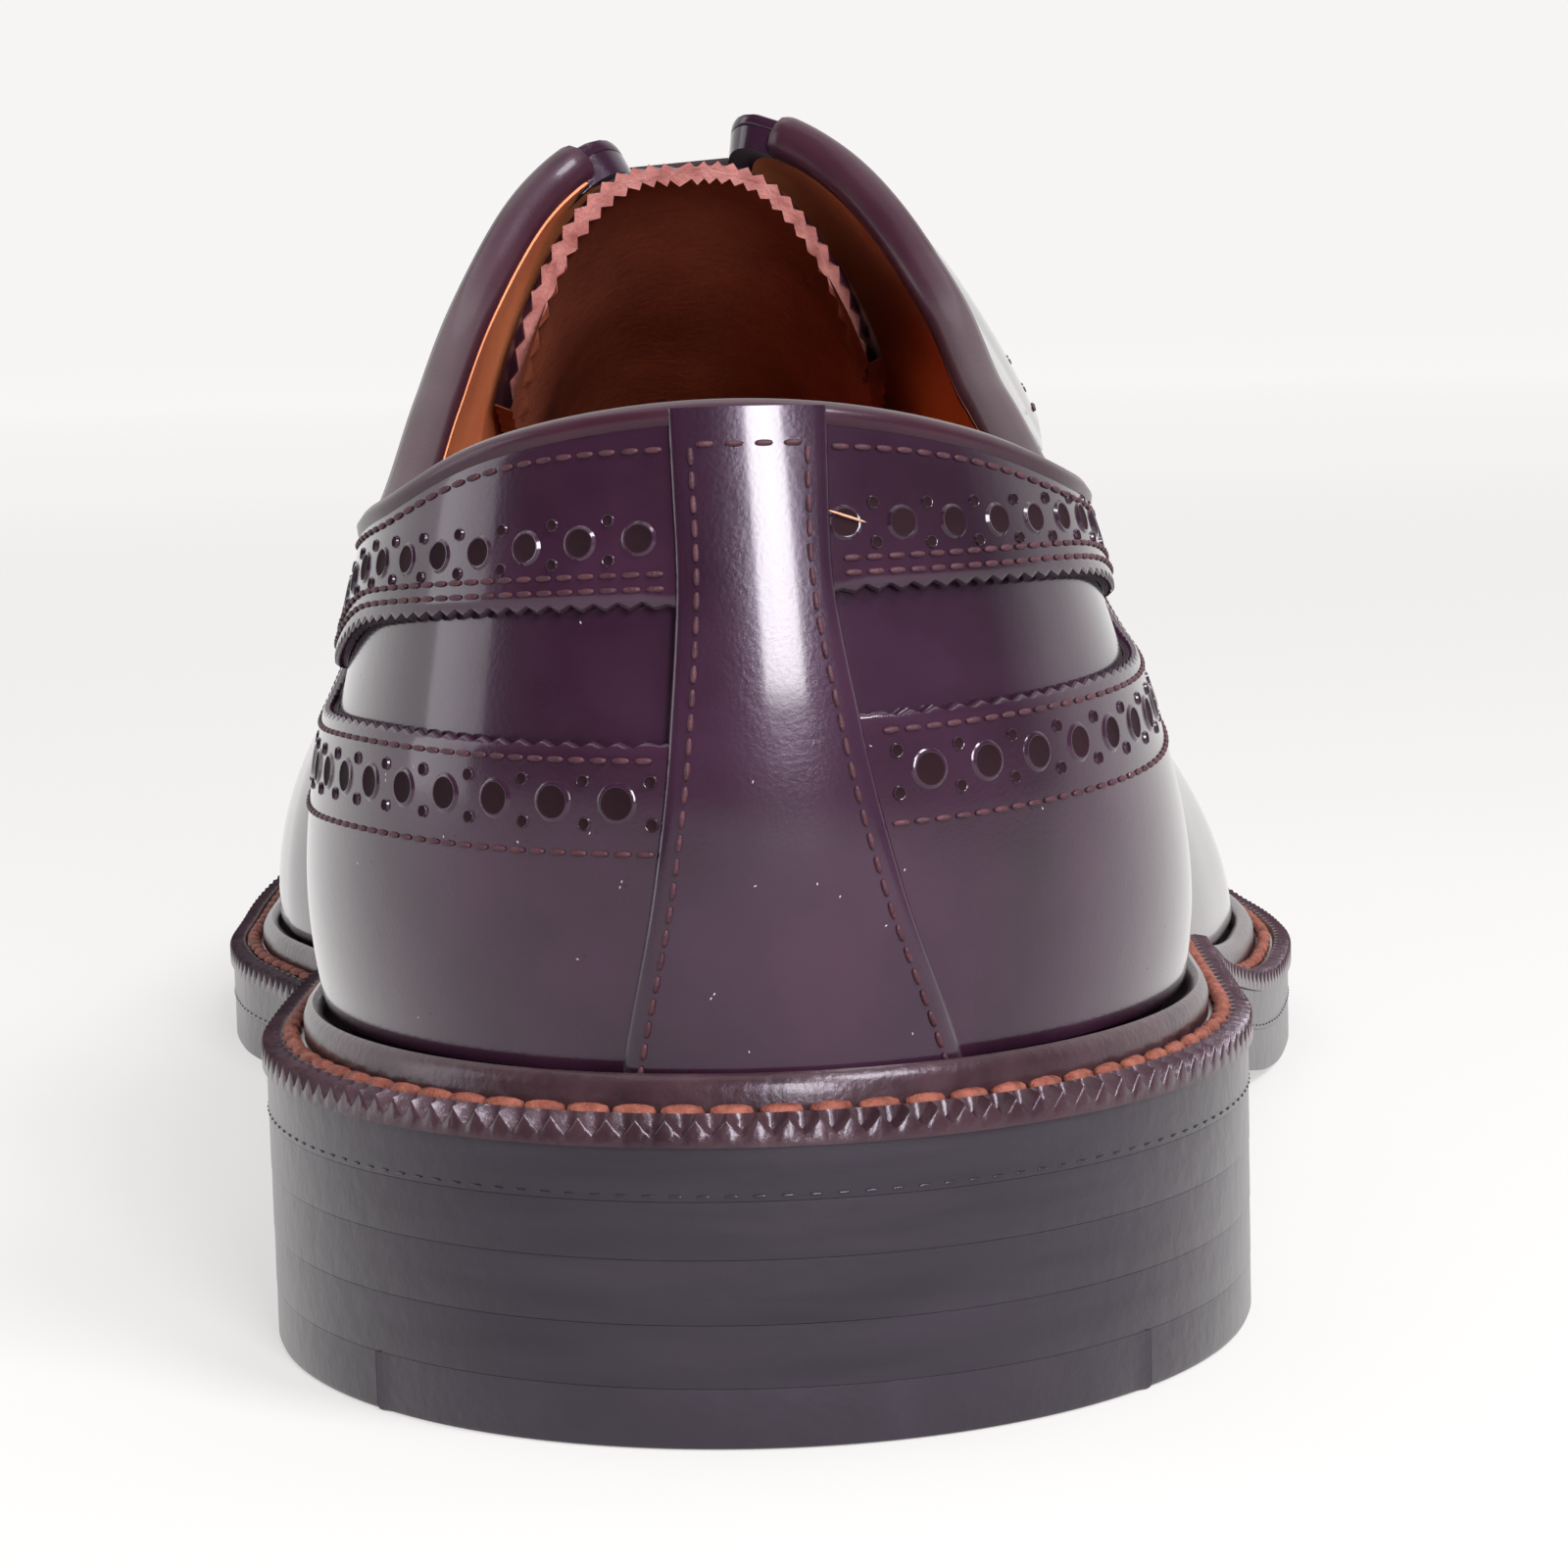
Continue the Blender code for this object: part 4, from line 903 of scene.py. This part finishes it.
# Point on the welt: a distance out from the feather edge, a height over the welt's underside
def onWelt(q, out, up):
    edge = rim(q, np.zeros(q.shape))
    foot = rim(q, np.full(q.shape, last["weltWidth"]))
    plane = foot + unit(edge - foot) * np.asarray(out)[..., None]
    base = soleHeight(edge[..., 1]) + last["seat"]
    return toFrame(plane[..., 0], plane[..., 1], base + up)


# How far the upper's wall leans out over the welt at the bead's top
def crowding(q):
    over = welt["thick"] + welt["bead"]
    t = shareAtHeight(q, over)
    wall = leatherPoint(q, t)
    foot = leatherPoint(q, np.zeros(q.shape))
    out = np.linalg.norm(wall[:, :2] - foot[:, :2], axis=1)
    return np.maximum(out - 0.0002, 0)


# Welt: flat strip with a notched rim, a stitched channel and a round bead against the upper
def makeWelt():
    q, total, count = ringColumns(welt["notchPitch"] / 4)
    phase = np.arange(count) % 4
    notch = np.array([0.0, 0.6, 1.0, 0.6])[phase] * welt["notchDeep"]
    crowd = crowding(q)
    wide, thick, bead, beadWide = last["weltWidth"], welt["thick"], welt["bead"], welt["beadWide"]
    zero = np.zeros(count)
    section = [(zero + 0.0002, zero), (zero + wide, zero), (zero + wide, zero + thick - 0.0006 - notch * 0.8),
               (zero + wide - 0.0002, zero + thick - 0.0002 - notch), (zero + wide - 0.0013, zero + thick - notch),
               (zero + wide - 0.0018, zero + thick - 0.0001), (zero + wide - 0.0021, zero + thick - 0.0006),
               (crowd + beadWide + 0.0001, zero + thick - 0.0006)]
    for f in np.linspace(0, 1, 7):
        angle = f * math.pi
        section.append((crowd * min(1, 0.4 + f) + beadWide * (0.5 + 0.5 * math.cos(angle)),
                        zero + thick - 0.0004 + (bead + 0.0002) * math.sin(angle) ** 0.8))
    loops = np.stack([onWelt(q, out, up) for out, up in section], 1)
    made = sweep("weltStrip", loops, weltLeather, closed=True)
    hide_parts("welt")
    q = np.append(q, q[0] + 2 * halfRing)[::4]
    path = onWelt(q, (crowding(q) + beadWide + wide - 0.0021) / 2, thick - 0.0005 + 0 * q)
    makeStitches("weltStitches", path, np.tile([0.0, 0.0, 1.0], (len(q), 1)), welt["stitchPitch"],
                 (0.0034, 0.00150, 0.00125), weltThread, 0.25, 0.10)


makeWelt()
print("welt made")

# Sole layers: start and end along the shoe, inset of the edge, whether it follows the sole's curve, low, high
layers = {
    "heel_top_rubber": (0.0, 0.017, 0.00055, False, 0.0, 0.0047),
    "heel_top_leather": (0.0171, 0.079, 0.00055, False, 0.0, 0.0047),
    "heel_lift_1": (0.0, 0.079, 0.00052, False, 0.0047, 0.0095),
    "heel_lift_2": (0.0, 0.079, 0.00048, False, 0.0095, 0.0144),
    "outsole": (0.0, 0.318, 0.00044, True, 0.0, 0.0044),
    "midsole": (0.0, 0.318, 0.00040, True, 0.0044, 0.0085),
}


# Sole layer: the outline's ring with softened corners, top and bottom closed from side to side
def makeLayer(name, start, end, inset, follow, low, high):
    first, final = float(ringPlace(1, start)), float(ringPlace(1, end))
    half = np.linspace(first, final, max(int((final - first) / 0.0015), 8))
    soft = 0.0005 if name.startswith("heel_top") else 0.00004
    section = [(0.0, low, soft), (0.3 * soft, low, 0.3 * soft), (soft, low, 0.0), (high - low - 0.00004, low, 0.0),
               (high - low, low, 0.00004)]
    grids = []
    for side in (1, -1):
        rows = []
        for up, base, back in section:
            plane = rim(side * half, np.full(half.shape, inset + back))
            ground = soleHeight(plane[:, 1]) if follow else np.zeros(len(plane))
            rows.append(toFrame(plane[:, 0], np.clip(plane[:, 1], start, end), ground + base + up))
        grids.append(np.stack(rows, 1))
    loops = np.concatenate([grids[0], grids[1][:, ::-1]], 1)
    made = sweep(f"{name}_layer", loops, rubber if name == "heel_top_rubber" else soleEdge, merge=0.00002,
                 sharp=28)
    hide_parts(name)


for layerName, values in layers.items():
    makeLayer(layerName, *values)


# Indent line: short pressed dashes in the edge under the welt
def makeIndent():
    q, total, count = ringColumns(0.0012)
    q = np.append(q, q[0] + 2 * halfRing)
    plane = rim(q, np.full(q.shape, 0.00038))
    up = soleHeight(plane[:, 1]) + 0.0048
    path = toFrame(plane[:, 0], plane[:, 1], up)
    out = rim(q, np.zeros(q.shape)) - rim(q, np.full(q.shape, 0.001))
    normals = np.concatenate([out / 0.001, np.zeros((len(q), 1))], 1)
    makeStitches("edgeIndent", path, normals, 0.0021, (0.0010, 0.00020, 0.00012), soleEdge, 0.3)


makeIndent()
print("sole made")


lace = {"first": 0.392, "end": 0.562, "bars": 5, "reach": 0.0085, "wide": 0.0014, "tall": 0.0008, "eyelet": 0.0019,
        "dive": [0.0022, 0.0006, -0.0006] + [-0.00105] * 9}


# Laces: flat bars over the gap, each end bent down into an eyelet with a turned rim
def makeLaces():
    for number, station in enumerate(np.linspace(lace["first"], lace["end"], lace["bars"])):
        halves, eyelets = [], []
        for side in (1, -1):
            q = ringPlace(side, station * last["length"]) + np.zeros(1)
            top = topShare(q)
            per = perShareAt(q, top - 0.05)[0]
            share = np.linspace(top[0] - lace["reach"] / per, top[0], len(lace["dive"]))
            halves.append(leatherPoint(q, share, lace["dive"]))
            eyelets.append((leatherPoint(q, share[:1]), normalAt(q, share[:1])))
        line = np.concatenate([halves[0], halves[1][::-1]])
        tangent = unit(np.gradient(line, axis=0))
        up = unit(np.cross(tangent, np.tile([0.0, 1.0, 0.0], (len(line), 1))))
        loops = ovalLoops(line, np.cross(up, tangent), up, lace["wide"], lace["tall"])
        made = sweep(f"laceBar_{number + 1}", loops, laceCotton)
        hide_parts(f"lace_bar_{number + 1}")
        centres, normals = (np.concatenate(rows) for rows in zip(*eyelets))
        along = np.tile([0.0, 1.0, 0.0], (2, 1))
        # Eyelets: near-black discs of painted shade for the openings, each with a turned rim
        makeHoles(f"eyelets_{number + 1}", centres, normals, along, np.full(2, lace["eyelet"]))


makeLaces()
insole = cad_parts["insole"]
insole.data.materials.clear()
insole.data.materials.append(sockLeather)
print("laces made")

# Camera at the photograph's place and angle: low behind the heel, tipped down and rolled a little
camera = {"place": (0.0045, -0.514, 0.08707), "down": 6.0, "roll": 1.6, "lens": 112.2}


# Camera: turned up from looking down by its pitch, then rolled
def makeCamera():
    data = bpy.data.cameras.new("rearCamera")
    data.lens = camera["lens"]
    data.clip_start = 0.01
    data.clip_end = 60
    made = addObject("rearCamera", data)
    made.location = camera["place"]
    pitch = math.radians(90 - camera["down"])
    made.rotation_mode = "QUATERNION"
    tilt = mathutils.Matrix.Rotation(pitch, 4, "X")
    turn = mathutils.Matrix.Rotation(-math.radians(camera["roll"]), 4, "Z")
    made.rotation_quaternion = (tilt @ turn).to_quaternion()
    bpy.context.scene.camera = made


# Area light: placed, and turned to a point
def makeLight(name, place, aim, size, power, colour=(1, 1, 1)):
    data = bpy.data.lights.new(name, "AREA")
    data.shape = "RECTANGLE"
    data.size, data.size_y = size
    data.energy = power
    data.color = colour
    made = addObject(name, data)
    made.location = place
    away = mathutils.Vector(aim) - mathutils.Vector(place)
    made.rotation_mode = "QUATERNION"
    made.rotation_quaternion = away.to_track_quat("-Z", "Y")


# Room: pale ahead and dim behind the camera, a pale floor that runs into it, and soft lights
def makeRoom():
    world = bpy.data.worlds.new("paleRoom")
    world.use_nodes = True
    nodes, links = world.node_tree.nodes, world.node_tree.links
    place = nodes.new("ShaderNodeTexCoord")
    split = nodes.new("ShaderNodeSeparateXYZ")
    links.new(place.outputs["Generated"], split.inputs["Vector"])
    shade = addRamp(nodes, links, addRange(nodes, links, split.outputs["Y"], -1, 1),
                    [(0.06, (0.09, 0.080, 0.100)), (0.70, (0.93, 0.915, 0.905)), (0.52, (0.17, 0.155, 0.185))])
    blobs = nodes.new("ShaderNodeTexNoise")
    blobs.inputs["Scale"].default_value = 1.6
    blobs.inputs["Detail"].default_value = 1
    links.new(place.outputs["Generated"], blobs.inputs["Vector"])
    patches = addRamp(nodes, links, blobs.outputs["Fac"], [(0.40, (0.35, 0.34, 0.37)), (0.62, (1.9, 1.85, 1.95))])
    mixed = nodes.new("ShaderNodeMix")
    mixed.data_type = "RGBA"
    mixed.blend_type = "MULTIPLY"
    links.new(addRange(nodes, links, split.outputs["Y"], 0.2, -0.3), mixed.inputs["Factor"])
    links.new(shade, mixed.inputs[6])
    links.new(patches, mixed.inputs[7])
    links.new(mixed.outputs[2], nodes["Background"].inputs["Color"])
    bpy.context.scene.world = world
    bpy.context.scene.view_settings.view_transform = "Standard"
    mesh = bpy.data.meshes.new("floor")
    mesh.from_pydata([(-12, -12, 0), (12, -12, 0), (12, 12, 0), (-12, 12, 0)], [], [(0, 1, 2, 3)])
    floor = addObject("floor", mesh)
    made, nodes, links, shader = makeMaterial("paleFloor", (0.25, 0.246, 0.243), 0.9)
    place = nodes.new("ShaderNodeTexCoord")
    away = nodes.new("ShaderNodeVectorMath")
    away.operation = "LENGTH"
    links.new(place.outputs["Object"], away.inputs[0])
    spread = addRange(nodes, links, away.outputs["Value"], 0.3, 5.3)
    shade = addRamp(nodes, links, spread,
                    [(0.0, (0.58, 0.571, 0.565)), (1.0, (0.93, 0.915, 0.905)), (0.25, (0.79, 0.777, 0.769)),
                     (0.55, (0.90, 0.885, 0.875))])
    links.new(shade, shader.inputs["Emission Color"])
    albedo = addRamp(nodes, links, spread,
                     [(0.0, (0.25, 0.246, 0.243)), (1.0, (0, 0, 0)), (0.55, (0.10, 0.098, 0.097))])
    links.new(albedo, shader.inputs["Base Color"])
    shader.inputs["Emission Strength"].default_value = 1
    shader.inputs["Specular IOR Level"].default_value = 0
    mesh.materials.append(made)
    makeLight("stripLight", (0.40, -1.6, 0.74), (0, -0.15, 0.05), (0.40, 0.95), 34)
    makeLight("overhead", (0, 0.1, 1.5), (0, 0, 0.0), (1.6, 1.6), 9)
    makeLight("mouthLight", (0.45, -0.55, 0.8), (0, -0.03, 0.07), (0.3, 0.3), 8)
    makeLight("sideLight", (-1.5, 0.10, 0.45), (0, -0.1, 0.06), (0.6, 0.9), 3.4)


makeCamera()
makeRoom()
print("camera and lights made")
